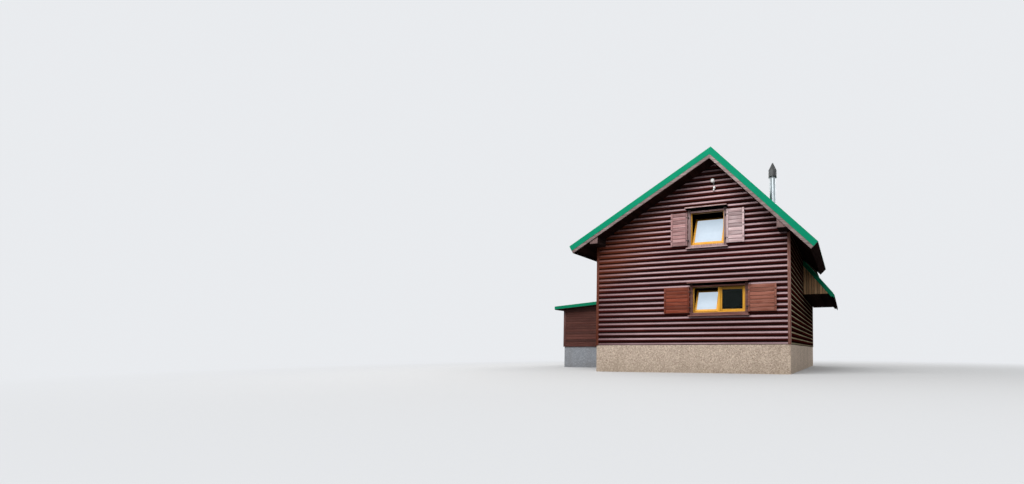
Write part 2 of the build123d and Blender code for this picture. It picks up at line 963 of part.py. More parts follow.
def add_pintles(facing, opening, hung):
    """Add the blocks on the casing that carry a window's shutters, and their pins."""
    for side in (-1, 1):
        pin_x = hinge_x(opening, side)
        for level in hinge_levels(opening):
            top = level - pintle_seat
            box_between(
                (pin_x - pintle_radius, facing * (core_y + casing_thickness), top - pintle_block),
                (pin_x + pintle_radius, facing * (hinge_reach + pintle_radius), top),
            )
            if hung:
                with BuildSketch(Plane(origin=(pin_x, facing * hinge_reach, top))) as section:
                    Circle(pintle_radius)
                extrude(section.sketch, amount=eye_height + pintle_seat)


for storey, opening in (("upper", upper_opening), ("lower", lower_opening)):
    for name, side in slope_sides.items():
        with BuildPart() as shutter:
            add_shutter(-1, opening, side, hung=True)
        export(shutter, f"{storey}_{name}_shutter")

with BuildPart() as shutter_pintles:
    for facing in (-1, 1):
        for opening in tilts_of[facing]:
            add_pintles(facing, opening, hung=facing < 0)
export(shutter_pintles, "shutter_pintles")

with BuildPart() as back_shutters:
    for opening in back_tilts:
        for side in (-1, 1):
            add_shutter(1, opening, side, hung=False)
export(back_shutters, "back_shutters")

# Rear door, shut in its frame
with BuildPart() as door_frame:
    frame_plane = facing_plane(1, door_centre, inner_y, ground_floor_level)
    clear_width = door_width - 2 * door_frame_bar
    clear_height = door_height - door_frame_bar
    standing_panel(frame_plane, door_width, 0, door_height, wall_thickness)
    standing_panel(frame_plane, clear_width, 0, clear_height, wall_thickness, mode=Mode.SUBTRACT)
export(door_frame, "door_frame")

with BuildPart() as door_leaf:
    leaf_face = core_y - door_setback - door_thickness
    leaf_plane = facing_plane(1, door_centre, leaf_face, ground_floor_level)
    standing_panel(leaf_plane, clear_width, 0, clear_height, door_thickness)
export(door_leaf, "door_leaf")

# Round lamp on a neck, on the log of the gable that lies nearest to its height
with BuildPart() as gable_lamp:
    lamp_log = round((ridge_height - lamp_drop - first_course_level) / log_course - 0.5)
    lamp_level = first_course_level + (lamp_log + 0.5) * log_course
    lamp_foot = (lamp_centre, -core_y - log_thickness, lamp_level)
    lamp_front = lamp_base_depth + lamp_depth
    with BuildSketch(Plane(origin=lamp_foot, x_dir=(1, 0, 0), z_dir=(0, 0, -1))):
        with BuildLine():
            Polyline(
                (0, lamp_front),
                (0, 0),
                (lamp_base_radius, 0),
                (lamp_base_radius, lamp_base_depth),
                (lamp_radius, lamp_base_depth),
                (lamp_radius, lamp_front),
                close=True,
            )
        make_face()
    revolve(axis=Axis(lamp_foot, (0, -1, 0)))
export(gable_lamp, "gable_lamp")
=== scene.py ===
# %% [markdown]
# A log cabin stands on a pebble-dashed plinth under an uneven green metal roof.
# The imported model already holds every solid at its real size, so this lesson only dresses it:
# finer boards, logs, glass and ironwork are modelled where the plain solid looks too simple,
# and every surface gets a finish that is worked out by nodes. Lengths are metres, Z is up,
# and the front gable looks along -Y.

# %% Load the frame
import math
import random
from contextlib import contextmanager

import bmesh
import bpy
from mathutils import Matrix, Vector


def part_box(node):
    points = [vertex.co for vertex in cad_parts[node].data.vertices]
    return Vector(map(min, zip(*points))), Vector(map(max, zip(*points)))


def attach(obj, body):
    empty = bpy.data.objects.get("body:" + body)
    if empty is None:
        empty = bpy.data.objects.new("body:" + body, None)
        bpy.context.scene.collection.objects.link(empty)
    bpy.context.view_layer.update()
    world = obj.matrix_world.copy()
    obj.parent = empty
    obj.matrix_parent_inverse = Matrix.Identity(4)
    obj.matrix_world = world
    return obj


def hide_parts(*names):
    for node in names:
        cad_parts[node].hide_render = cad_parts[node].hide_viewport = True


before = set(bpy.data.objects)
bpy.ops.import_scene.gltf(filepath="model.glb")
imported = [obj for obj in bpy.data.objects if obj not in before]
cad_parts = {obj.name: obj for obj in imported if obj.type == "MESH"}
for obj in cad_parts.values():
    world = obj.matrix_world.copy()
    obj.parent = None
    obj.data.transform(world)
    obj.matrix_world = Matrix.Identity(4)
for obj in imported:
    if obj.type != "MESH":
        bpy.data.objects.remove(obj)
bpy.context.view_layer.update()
house_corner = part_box("corner_boards")[1]
half_width, half_length = house_corner.x, house_corner.y
plinth_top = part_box("plinth")[1].z
print("nodes", len(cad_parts), "house", 2 * half_width, "by", 2 * half_length)

# %% [markdown]
# The photograph was taken by a wide lens, low and well to the right of the cabin. A camera that
# looks at the cabin keeps its straight lines straight, and the lens shift puts the cabin where it
# stands in the picture, right of the middle and low, without turning the camera away from it.

# %% Camera
SENSOR_WIDTH = 36.0
camera_data = bpy.data.cameras.new("camera")
camera_data.sensor_width = SENSOR_WIDTH
camera_data.lens = 15.73
camera_data.shift_x = -0.1911
camera_data.shift_y = 0.0865
camera_data.clip_end = 400
camera = bpy.data.objects.new("camera", camera_data)
camera.location = (5.151, -18.583, 0.710)
camera.rotation_euler = (math.radians(90 + 2.68), 0, math.radians(17.48))
bpy.context.scene.collection.objects.link(camera)
bpy.context.scene.camera = camera
bpy.context.scene.view_settings.view_transform = "Standard"
print("camera at", tuple(camera.location), "lens", round(camera_data.lens, 2))

# %% [markdown]
# Nodes are easier to read when each takes one line. One helper adds a node with its settings
# and inputs, and a few more name the mixes that every finish needs.

# %% Node helpers
def add_node(tree, kind, inputs=None, **settings):
    """Add one node; an input may be a value or another node's output."""
    node = tree.nodes.new("ShaderNode" + kind)
    for key, value in settings.items():
        setattr(node, key, value)
    for key, value in (inputs or {}).items():
        if isinstance(value, bpy.types.NodeSocket):
            tree.links.new(value, node.inputs[key])
        else:
            node.inputs[key].default_value = value
    return node


def mix_colours(tree, share, first, second, blend="MIX"):
    """Mix two colours by a share from 0 to 1."""
    inputs = {0: share, 6: first, 7: second}
    return add_node(tree, "Mix", inputs, data_type="RGBA", blend_type=blend).outputs[2]


def scaled(tree, value, low, high, to_low=0.0, to_high=1.0):
    """Stretch a value from one range to another, clamped at both ends."""
    inputs = {"Value": value, 1: low, 2: high, 3: to_low, 4: to_high}
    return add_node(tree, "MapRange", inputs).outputs[0]


def calculate(tree, operation, first, second=0.0, third=0.0):
    """One step of arithmetic."""
    inputs = {0: first, 1: second, 2: third}
    return add_node(tree, "Math", inputs, operation=operation).outputs[0]


def grey(tree, value):
    """The grey of one value."""
    return add_node(tree, "CombineColor", {0: value, 1: value, 2: value}).outputs[0]


def dimmed(tree, colour, value):
    """A colour multiplied by one value."""
    return mix_colours(tree, 1.0, colour, grey(tree, value), blend="MULTIPLY")


def noise(tree, vector, scale, detail=4.0):
    """Soft random patches, between 0 and 1."""
    inputs = {"Vector": vector, "Scale": scale, "Detail": detail, "Roughness": 0.55}
    return add_node(tree, "TexNoise", inputs).outputs[0]


def object_place(tree, stretch=(1, 1, 1)):
    """Object coordinates, stretched so that a pattern runs along the grain."""
    place = add_node(tree, "TexCoord").outputs["Object"]
    return add_node(tree, "Mapping", {"Vector": place, "Scale": stretch}).outputs[0]


def bare_material(name):
    """A material without nodes, for a shader of its own."""
    material = bpy.data.materials.new(name)
    material.use_nodes = True
    material.node_tree.nodes.clear()
    return material, material.node_tree


def new_finish(name, roughness=0.5, **constants):
    """A material with one principled shader; constants go on the shader's own sockets."""
    material = bpy.data.materials.new(name)
    material.use_nodes = True
    shader = material.node_tree.nodes["Principled BSDF"]
    shader.inputs["Roughness"].default_value = roughness
    for key, value in constants.items():
        shader.inputs[key.replace("_", " ")].default_value = value
    return material, material.node_tree, shader


def seen_directly(tree):
    """1 where a ray comes from the eye or by way of metal or glass, 0 for light that bounces."""
    rays = add_node(tree, "LightPath").outputs
    seen = calculate(tree, "MAXIMUM", rays["Is Camera Ray"], rays["Is Glossy Ray"])
    return calculate(tree, "MAXIMUM", seen, rays["Is Transmission Ray"])


def roughen(tree, shader, height, distance, strength=0.6):
    """Turn a height between 0 and 1 into bumps of one depth in metres."""
    inputs = {"Height": height, "Distance": distance, "Strength": strength}
    tree.links.new(add_node(tree, "Bump", inputs).outputs[0], shader.inputs["Normal"])


print("node helpers ready")

# %% [markdown]
# The sky over the cabin is white and even, so the light has no hard edge. A pale world fills the
# shadows, and four long soft lamps hang high on the four sides, the front one strongest, so that
# the upper side of each round log is lit and its joint lies in shade.

# %% World and lamps
FILL_LIGHT = 0.62
BACKDROP, BACKDROP_BRIGHTNESS = (0.95, 0.97, 1, 1), 0.86
LAMP_TARGET = Vector((0, 0, 3))

world = bpy.data.worlds.new("studio")
bpy.context.scene.world = world
world.use_nodes = True
sky = world.node_tree
sky.nodes.clear()
strength = scaled(sky, seen_directly(sky), 0, 1, FILL_LIGHT, BACKDROP_BRIGHTNESS)
background = add_node(sky, "Background", {"Color": BACKDROP, "Strength": strength})
add_node(sky, "OutputWorld", {"Surface": background.outputs[0]})


def soft_lamp(name, place, width, height, watts):
    """A rectangular lamp that looks at the cabin."""
    light = bpy.data.lights.new(name, "AREA")
    light.shape = "RECTANGLE"
    light.size, light.size_y, light.energy = width, height, watts
    lamp = bpy.data.objects.new(name, light)
    lamp.location = place
    lamp.rotation_euler = (LAMP_TARGET - Vector(place)).to_track_quat("-Z", "Y").to_euler()
    bpy.context.scene.collection.objects.link(lamp)


soft_lamp("front_lamp", (-3, -15, 16), 26, 10, 4600)
soft_lamp("back_lamp", (3, 17, 15), 22, 8, 2900)
soft_lamp("left_lamp", (-18, 2, 13), 16, 7, 1500)
soft_lamp("right_lamp", (18, 0, 13), 16, 7, 200)

# %% [markdown]
# The floor is plain and pale to the eye, and fades into the backdrop far off, so that no horizon
# shows. The cabin stands on grass, which sends little light back up under the eaves: so for
# the light that bounces, the floor is darker than it looks.

# %% Floor
FLOOR_RADIUS = 160
FLOOR_NEAR, FLOOR_FAR = 8, 21
FLOOR_SEEN, FLOOR_BOUNCE = 0.46, 0.14


def clear_selection():
    """Nothing stays selected, so the next operator acts on its own piece alone."""
    if bpy.context.object and bpy.context.object.mode != "OBJECT":
        bpy.ops.object.mode_set(mode="OBJECT")
    bpy.ops.object.select_all(action="DESELECT")


clear_selection()
bpy.ops.mesh.primitive_circle_add(vertices=96, radius=FLOOR_RADIUS, fill_type="TRIFAN")
floor = bpy.context.object
floor.name = "studio_floor"
floor_finish, tree = bare_material("studio_floor_finish")
seen = seen_directly(tree)
shade = scaled(tree, seen, 0, 1, FLOOR_BOUNCE, FLOOR_SEEN)
near = add_node(tree, "BsdfDiffuse", {"Color": grey(tree, shade)}).outputs[0]
strength = scaled(tree, seen, 0, 1, FLOOR_BOUNCE * FILL_LIGHT, BACKDROP_BRIGHTNESS)
far = add_node(tree, "Emission", {"Color": BACKDROP, "Strength": strength}).outputs[0]
distance = add_node(tree, "VectorMath", {0: object_place(tree)}, operation="LENGTH").outputs[1]
share = add_node(
    tree, "MapRange", {"Value": distance, 1: FLOOR_NEAR, 2: FLOOR_FAR},
    interpolation_type="SMOOTHSTEP",
).outputs[0]
mixed = add_node(tree, "MixShader", {0: share, 1: near, 2: far}).outputs[0]
add_node(tree, "OutputMaterial", {"Surface": mixed})
floor.data.materials.append(floor_finish)
print("floor fades from", FLOOR_NEAR, "to", FLOOR_FAR, "m")

# %% [markdown]
# Most of the cabin is stained timber, and one recipe serves all of it. Long thin noise makes the
# grain along the board, a wide noise fades the stain in patches, and each board carries a tone
# of its own as an attribute, because no two boards take stain alike. A tone below nothing is
# painted shade, on the eased edges along a joint, under a board and on parts that lie in shade;
# a tone above one is painted light. The sheen comes from roughness that follows the grain.

# %% Stained timber
GRAIN_FINE, GRAIN_LONG = 70, 2.2
DARKEST = 0.12


def along_grain(direction):
    """Stretch for a pattern whose grain runs along X, Y or Z."""
    return tuple(GRAIN_LONG if axis == direction else GRAIN_FINE for axis in "XYZ")


def stained_timber(
    name, stain, faded, grain="X", fade=0.5, gloss=0.42, tone_depth=0.35, shine=0.15
):
    """A stain over open grain: the stain's own colour, and what the weather leaves of it."""
    material, tree, shader = new_finish(name, gloss)
    shader.inputs["Specular IOR Level"].default_value = shine
    grain_lines = noise(tree, object_place(tree, along_grain(grain)), 1.0, detail=5)
    patches = noise(tree, object_place(tree), 1.7, detail=3)
    worn = calculate(tree, "MULTIPLY", scaled(tree, grain_lines, 0.35, 0.75), patches)
    worn = scaled(tree, worn, 0.05, 0.45, 0.0, fade)
    colour = mix_colours(tree, worn, (*stain, 1), (*faded, 1))
    # A tone set below nothing paints shade, one above one paints light; random tones are the boards'
    # own.
    tone = add_node(tree, "Attribute", attribute_name="tone").outputs["Fac"]
    shade = calculate(tree, "MULTIPLY_ADD", tone, 2 * tone_depth, 1 - tone_depth)
    shade = calculate(tree, "MAXIMUM", shade, DARKEST)
    dark_line = scaled(tree, grain_lines, 0.25, 0.5, 0.72, 1.0)
    colour = dimmed(tree, colour, calculate(tree, "MULTIPLY", shade, dark_line))
    tree.links.new(colour, shader.inputs["Base Color"])
    sheen = scaled(tree, grain_lines, 0.2, 0.8, gloss - 0.08, gloss + 0.18)
    tree.links.new(sheen, shader.inputs["Roughness"])
    roughen(tree, shader, grain_lines, 0.0012)
    return material


def lay_boards(material, axis, pitch, start=0.0):
    """Divide a wide face into boards by dark joints, each board with a tone of its own."""
    tree = material.node_tree
    shader = tree.nodes["Principled BSDF"]
    place = add_node(tree, "SeparateXYZ", {0: object_place(tree)}).outputs["XYZ".index(axis)]
    row = calculate(tree, "DIVIDE", calculate(tree, "SUBTRACT", place, start), pitch)
    joint = scaled(tree, calculate(tree, "PINGPONG", row, 0.5), 0.0, 0.03, 0.30, 1.0)
    number = calculate(tree, "FLOOR", row)
    own = add_node(tree, "TexWhiteNoise", {"W": number}, noise_dimensions="1D").outputs[0]
    shade = calculate(tree, "MULTIPLY", joint, scaled(tree, own, 0, 1, 0.75, 1.25))
    stain = shader.inputs["Base Color"].links[0].from_socket
    tree.links.new(dimmed(tree, stain, shade), shader.inputs["Base Color"])
    return material


trim_finish = stained_timber("trim_finish", (0.085, 0.032, 0.026), (0.24, 0.13, 0.115), "Z")
barge_finish = stained_timber(
    "barge_finish", (0.19, 0.125, 0.118), (0.44, 0.345, 0.33), "X", fade=0.95, gloss=0.6
)
shutter_finishes = {
    "upper_left": stained_timber(
        "upper_left_finish", (0.31, 0.145, 0.140), (0.54, 0.37, 0.365), fade=0.85, gloss=0.55
    ),
    "upper_right": stained_timber(
        "upper_right_finish", (0.40, 0.26, 0.26), (0.64, 0.52, 0.52), fade=0.85, gloss=0.55
    ),
    "lower_left": stained_timber(
        "lower_left_finish", (0.175, 0.033, 0.016), (0.31, 0.10, 0.058), fade=0.5
    ),
    "lower_right": stained_timber(
        "lower_right_finish", (0.23, 0.070, 0.044), (0.45, 0.21, 0.155), fade=0.6
    ),
}
annex_finish = stained_timber(
    "annex_finish", (0.075, 0.022, 0.016), (0.15, 0.065, 0.05), "X", fade=0.45, gloss=0.5
)
annex_side_finish = stained_timber(
    "annex_side_finish", (0.075, 0.022, 0.016), (0.15, 0.065, 0.05), "Y", fade=0.45, gloss=0.5
)
corner_finish = stained_timber(
    "corner_finish", (0.17, 0.060, 0.040), (0.40, 0.24, 0.21), "Z", fade=0.7, gloss=0.5
)
# Redder stain of the left corners, darkened as painted shade of the trees.
left_corner_finish = stained_timber(
    "left_corner_finish", (0.105, 0.023, 0.011), (0.19, 0.065, 0.038), "Z", fade=0.6, gloss=0.5
)
plate_finish = stained_timber(
    "plate_finish", (0.14, 0.080, 0.074), (0.32, 0.22, 0.21), "Y", fade=0.85, gloss=0.6
)
# Near black, a painted shade: eave boards, plates under the roof, window heads and bearers.
painted_shade_finish = stained_timber(
    "painted_shade_finish", (0.018, 0.010, 0.009), (0.05, 0.032, 0.029), "Y", fade=0.7, gloss=0.7,
    shine=0.0,
)
shelf_finish = stained_timber(
    "shelf_finish", (0.20, 0.12, 0.115), (0.42, 0.31, 0.30), "X", fade=0.9, gloss=0.6
)
casing_finish = stained_timber(
    "casing_finish", (0.22, 0.135, 0.13), (0.46, 0.35, 0.34), "Z", fade=0.8, gloss=0.6
)
low_trim_finish = stained_timber(
    "low_trim_finish", (0.105, 0.040, 0.032), (0.27, 0.145, 0.125), "X", fade=0.6, gloss=0.55
)
door_finish = stained_timber(
    "door_finish", (0.135, 0.030, 0.016), (0.27, 0.10, 0.06), "Z", fade=0.5
)
cheek_finish = stained_timber(
    "cheek_finish", (0.45, 0.25, 0.125), (0.68, 0.47, 0.27), "Z", fade=0.7, gloss=0.55
)
soffit_finish = stained_timber(
    "soffit_finish", (0.022, 0.012, 0.010), (0.05, 0.028, 0.024), "Y", fade=0.4, gloss=0.75,
    shine=0.0,
)
frame_finish = stained_timber(
    "frame_finish", (0.72, 0.34, 0.026), (0.88, 0.54, 0.12), "Z", fade=0.5, gloss=0.3,
    tone_depth=0.2,
)
lining_finish = lay_boards(stained_timber(
    "lining_finish", (0.30, 0.17, 0.08), (0.45, 0.29, 0.16), "X", fade=0.6, gloss=0.5
), "Z", 0.115)
floor_boards_finish = lay_boards(stained_timber(
    "floor_boards_finish", (0.32, 0.19, 0.09), (0.48, 0.31, 0.17), "Y", fade=0.6, gloss=0.4
), "X", 0.12)
deck_finish = lay_boards(stained_timber(
    "deck_finish", (0.034, 0.016, 0.013), (0.09, 0.045, 0.038), "Y", fade=0.4, gloss=0.7,
    shine=0.0,
), "X", 0.11)
annex_deck_finish = lay_boards(stained_timber(
    "annex_deck_finish", (0.034, 0.016, 0.013), (0.09, 0.045, 0.038), "X", fade=0.4, gloss=0.7,
    shine=0.0,
), "Y", 0.11)
print("timber finishes", sum("finish" in m.name for m in bpy.data.materials))

# %% [markdown]
# The logs wear a dark mahogany stain, darkened here towards black, partly as painted shade of
# their lower halves. Their rounded tops would mirror the sky: that reflection is painted into the
# colour as a dusty pink band high on each log, a painted highlight, while painted shade deepens to
# almost black at the joints. The height within a course gives that change, so it needs no image
# map. Under the long left eave rain and sun don't reach, so there the stain is still red, and the
# painted highlight is weaker there and at the far left, as painted shade of the eave and the trees:
# a sloping line over height and width gives that shelter. High in the gable the painted highlight
# is paler again, a painted light against the shadow of the verge.

# %% Log stain
LOG_COURSE = 0.175
SOLE_HEIGHT = 0.10
LOG_REACH = 0.040
LOG_JOINT_REACH = 0.014
# Painted highlight: where its band sits on each log, how wide it is, and its colours.
HIGHLIGHT_MIDDLE, HIGHLIGHT_FLAT = 0.66, 0.06
FRONT_BAND, SIDE_BAND = 0.23, 0.17
PAINTED_HIGHLIGHT, SIDE_PAINTED_HIGHLIGHT = (0.57, 0.395, 0.415), (0.34, 0.315, 0.20)
FRESH_RED = (0.165, 0.040, 0.018)
# Painted light high in the gable, against the shadow of the verge.
GABLE_PAINTED_LIGHT = 1.55
PALER_FROM, PALER_TO = 4.4, 6.2
EAVE_REST, EAVE_RISE = 2.35, 0.55
first_joint = plinth_top + SOLE_HEIGHT


def log_stain_and_light(name, grain, highlight, band, shine):
    """Dark stain, with a painted highlight high on each round log and painted shade near its joints.
    """
    # The stain is darkened towards black, partly as painted shade of the logs' lower halves.
    material = stained_timber(
        name, (0.036, 0.0035, 0.0025), (0.10, 0.018, 0.013), grain, fade=0.3, gloss=0.42,
        shine=shine,
    )
    tree = material.node_tree
    shader = tree.nodes["Principled BSDF"]
    across, _, height = add_node(tree, "SeparateXYZ", {0: object_place(tree)}).outputs
    course = calculate(tree, "DIVIDE", calculate(tree, "SUBTRACT", height, first_joint), LOG_COURSE)
    within = calculate(tree, "FRACT", course)
    # A painted highlight in a band high on each log; painted shade deepens towards the joints.
    lit = calculate(tree, "PINGPONG", calculate(tree, "SUBTRACT", within, HIGHLIGHT_MIDDLE), 0.5)
    upper = scaled(tree, lit, band, HIGHLIGHT_FLAT, 0.0, 0.95)
    crease_shade = scaled(tree, calculate(tree, "PINGPONG", course, 0.5), 0.03, 0.23, 0.04, 1.0)
    stain = shader.inputs["Base Color"].links[0].from_socket
    patchy = noise(tree, object_place(tree, (0.5, 0.5, 3)), 1.1, detail=4)
    upper = calculate(tree, "MULTIPLY", upper, scaled(tree, patchy, 0.3, 0.7, 0.6, 1.0))
    # Painted shade of the trees: the painted highlight is weaker at the far left.
    upper = calculate(tree, "MULTIPLY", upper, scaled(tree, across, -3.5, -1.7, 0.35, 1.0))
    slope = calculate(tree, "MULTIPLY", calculate(tree, "ADD", across, half_width), EAVE_RISE)
    shelter = calculate(tree, "SUBTRACT", calculate(tree, "SUBTRACT", height, EAVE_REST), slope)
    shelter = calculate(tree, "ADD", shelter, scaled(tree, patchy, 0.3, 0.7, -0.3, 0.3))
    fresh = scaled(tree, shelter, 0.1, 1.2, 0.0, 0.75)
    fresh = calculate(tree, "MULTIPLY", fresh, scaled(tree, across, -2.6, -0.6, 1.0, 0.12))
    stain = mix_colours(tree, fresh, stain, (*FRESH_RED, 1))
    # Painted shade under the eave: the painted highlight fades where the stain stays red.
    upper = calculate(tree, "MULTIPLY", upper, scaled(tree, fresh, 0, 1, 1.0, 0.3))
    # Painted light in the gable, against the shadow of the verge.
    gable_light = scaled(tree, height, PALER_FROM, PALER_TO, 1.0, GABLE_PAINTED_LIGHT)
    colour = mix_colours(tree, upper, stain, dimmed(tree, (*highlight, 1), gable_light))
    tree.links.new(dimmed(tree, colour, crease_shade), shader.inputs["Base Color"])
    return material


# Both log finishes carry a painted highlight and painted shade.
log_painted_light_finish = log_stain_and_light("log_painted_light_finish", "X", PAINTED_HIGHLIGHT, FRONT_BAND, 0.04)
side_log_painted_light_finish = log_stain_and_light("side_log_painted_light_finish", "Y", SIDE_PAINTED_HIGHLIGHT, SIDE_BAND, 0.0)
print("log courses of", LOG_COURSE, "m from", round(first_joint, 3))

# %% [markdown]
# The roof is coated steel sheet, a vivid green that has chalked a little and holds dust. The
# porch's sheet and the lean-to's sheet lie in shade, so they get a darker copy of the same green,
# a painted shade.

# %% Coated sheet
def coated_sheet(name, fresh, chalky, gloss):
    """Painted steel, chalked in patches that the rain has drawn out."""
    material, tree, shader = new_finish(name, gloss)
    shader.inputs["Specular IOR Level"].default_value = 0.015
    place = object_place(tree)
    chalk = scaled(tree, noise(tree, place, 2.5, detail=5), 0.35, 0.7, 0.0, 0.45)
    rain = noise(tree, object_place(tree, (1, 14, 1)), 1.2, detail=3)
    chalk = calculate(tree, "MULTIPLY", chalk, scaled(tree, rain, 0.3, 0.7, 0.5, 1.0))
    colour = mix_colours(tree, chalk, (*fresh, 1), (*chalky, 1))
    tree.links.new(colour, shader.inputs["Base Color"])
    rub = scaled(tree, noise(tree, place, 9), 0.3, 0.7, gloss - 0.07, gloss + 0.1)
    tree.links.new(rub, shader.inputs["Roughness"])
    roughen(tree, shader, noise(tree, place, 6, detail=2), 0.002, 0.25)
    return material


roof_green = coated_sheet("roof_green", (0.0035, 0.225, 0.118), (0.010, 0.27, 0.15), 0.5)
# A darker copy of the roof green for sheets that lie in shade, a painted shade.
painted_shade_green = coated_sheet("painted_shade_green", (0.005, 0.185, 0.092), (0.014, 0.225, 0.125), 0.55)
print("sheet finishes", roof_green.name, painted_shade_green.name)

# %% [markdown]
# Pebble dash is small stones thrown into wet mortar. Cells of two sizes give the stones, each
# with its own colour from sand to rose and brown, and the mortar sinks between them.

# %% Pebble dash
STONE_SCALE, PATCH_SCALE = 55.0, 30.0
DAMP_HEIGHT = 0.45


def pebble_dash(name, mortar, sand, rose, brown, dirt):
    """Small stones of three colours in mortar, dirty near the ground."""
    material, tree, shader = new_finish(name, 0.85)
    shader.inputs["Specular IOR Level"].default_value = 0.25
    place = object_place(tree)
    stones = add_node(tree, "TexVoronoi", {"Vector": place, "Scale": STONE_SCALE})
    patches = add_node(tree, "TexVoronoi", {"Vector": place, "Scale": PATCH_SCALE})
    pale = [min(1, 1.25 * part) for part in sand]
    split = add_node(tree, "SeparateColor", {0: stones.outputs["Color"]}).outputs
    wide = add_node(tree, "SeparateColor", {0: patches.outputs["Color"]}).outputs
    colour = mix_colours(tree, split[0], (*sand, 1), (*rose, 1))
    colour = mix_colours(tree, scaled(tree, split[1], 0.80, 0.88), colour, (*brown, 1))
    colour = mix_colours(tree, scaled(tree, wide[0], 0.62, 0.75), colour, (*pale, 1))
    colour = mix_colours(tree, scaled(tree, wide[2], 0.0, 1.0, 0.0, 0.35), colour, (*mortar, 1))
    edge = scaled(tree, stones.outputs["Distance"], 0.35, 0.8)
    colour = mix_colours(tree, calculate(tree, "MULTIPLY", edge, 0.6), colour, (*mortar, 1))
    height = add_node(tree, "SeparateXYZ", {0: place}).outputs[2]
    low = scaled(tree, height, 0.0, DAMP_HEIGHT, 0.55, 0.0)
    damp = calculate(tree, "MULTIPLY", low, noise(tree, place, 1.6, detail=5))
    colour = mix_colours(tree, damp, colour, (*dirt, 1))
    stains = scaled(tree, noise(tree, object_place(tree, (2.5, 2.5, 0.4)), 1.0, 5), 0.5, 0.75)
    colour = mix_colours(tree, calculate(tree, "MULTIPLY", stains, 0.35), colour, (*dirt, 1))
    tree.links.new(colour, shader.inputs["Base Color"])
    roughen(tree, shader, calculate(tree, "SUBTRACT", 1.0, stones.outputs["Distance"]), 0.006, 0.9)
    return material


plinth_finish = pebble_dash(
    "plinth_finish", (0.42, 0.335, 0.26), (0.60, 0.49, 0.385), (0.52, 0.385, 0.315),
    (0.26, 0.18, 0.13), (0.28, 0.215, 0.15),
)
annex_plinth_finish = pebble_dash(
    "annex_plinth_finish", (0.24, 0.25, 0.27), (0.32, 0.34, 0.37), (0.28, 0.29, 0.31),
    (0.20, 0.20, 0.21), (0.18, 0.17, 0.16),
)
slab_finish = pebble_dash(
    "slab_finish", (0.30, 0.29, 0.27), (0.36, 0.35, 0.32), (0.33, 0.31, 0.29),
    (0.24, 0.22, 0.20), (0.18, 0.17, 0.15),
)
print("masonry finishes ready")

# %% [markdown]
# Small metal and plastic parts: bright flue steel with upright streaks, partly marks on the steel
# and partly a painted reflection, and soot near its top, black iron for hinges, a dull zinc for
# screws and flashings, white and grey plastic for the lamp.

# %% Steel, iron and plastic
SOOT_FROM, SOOT_TO = 6.9, 7.7


def flue_steel():
    """Steel with upright streaks, partly marks and partly a painted reflection, sooted at the cowl.
    """
    material, tree, shader = new_finish("flue_steel_finish", 0.3, Metallic=1.0)
    # Upright streaks: partly marks on the steel, partly a painted reflection.
    streaks_and_reflection = scaled(tree, noise(tree, object_place(tree, (13, 13, 0.4)), 1.0, 2), 0.40, 0.60)
    height = add_node(tree, "SeparateXYZ", {0: object_place(tree)}).outputs[2]
    soot = scaled(tree, height, SOOT_FROM, SOOT_TO, 0.0, 0.85)
    patchy = scaled(tree, noise(tree, object_place(tree), 7), 0.3, 0.6)
    soot = calculate(tree, "MULTIPLY", soot, patchy)
    bright = mix_colours(tree, streaks_and_reflection, (0.06, 0.07, 0.075, 1), (0.46, 0.51, 0.53, 1))
    colour = mix_colours(tree, soot, bright, (0.05, 0.048, 0.045, 1))
    tree.links.new(colour, shader.inputs["Base Color"])
    tree.links.new(scaled(tree, streaks_and_reflection, 0.3, 0.7, 0.22, 0.45), shader.inputs["Roughness"])
    roughen(tree, shader, streaks_and_reflection, 0.001, 0.3)
    return material


def worn_skin(name, colour, worn, roughness, metallic=0.0):
    """The skin of a small metal or plastic part, rubbed through in fine spots."""
    material, tree, shader = new_finish(name, roughness, Metallic=metallic)
    spots = scaled(tree, noise(tree, object_place(tree), 45, detail=4), 0.52, 0.68)
    tree.links.new(mix_colours(tree, spots, (*colour, 1), (*worn, 1)), shader.inputs["Base Color"])
    uneven = scaled(tree, noise(tree, object_place(tree), 90), 0.3, 0.7, -0.06, 0.1)
    tree.links.new(calculate(tree, "ADD", uneven, roughness), shader.inputs["Roughness"])
    roughen(tree, shader, noise(tree, object_place(tree), 160), 0.0006, 0.4)
    return material


steel_finish = flue_steel()
cowl_finish = worn_skin("cowl_finish", (0.022, 0.023, 0.023), (0.12, 0.12, 0.12), 0.5, 0.2)
iron_finish = worn_skin("iron_finish", (0.014, 0.013, 0.013), (0.05, 0.03, 0.02), 0.5, 0.3)
zinc_finish = worn_skin("zinc_finish", (0.33, 0.34, 0.34), (0.22, 0.23, 0.23), 0.45, 0.8)
white_finish = worn_skin("white_finish", (0.92, 0.92, 0.90), (0.80, 0.79, 0.75), 0.35)
grey_finish = worn_skin("grey_finish", (0.33, 0.34, 0.35), (0.25, 0.25, 0.25), 0.5)
gasket_finish = worn_skin("gasket_finish", (0.012, 0.012, 0.012), (0.03, 0.03, 0.03), 0.7)
print("small finishes ready")

# %% [markdown]
# Glass is nearly black where it looks into an unlit room and white where it mirrors the sky. The
# sashes that stand tilted lean back towards the clouds. On their panes the sky's reflection is
# painted as a pale matt veil under the mirror, a painted reflection, and the veil has a glow of its
# own, a painted light that keeps it even where the frame shades it. The upright panes only mirror
# as glass does.

# %% Glass
# Colour and glow of the veil that paints the sky's reflection on the tilted panes.
PAINTED_SKY_VEIL, PAINTED_GLOW_COLOUR = (0.17, 0.185, 0.20), (0.72, 0.86, 1.0)


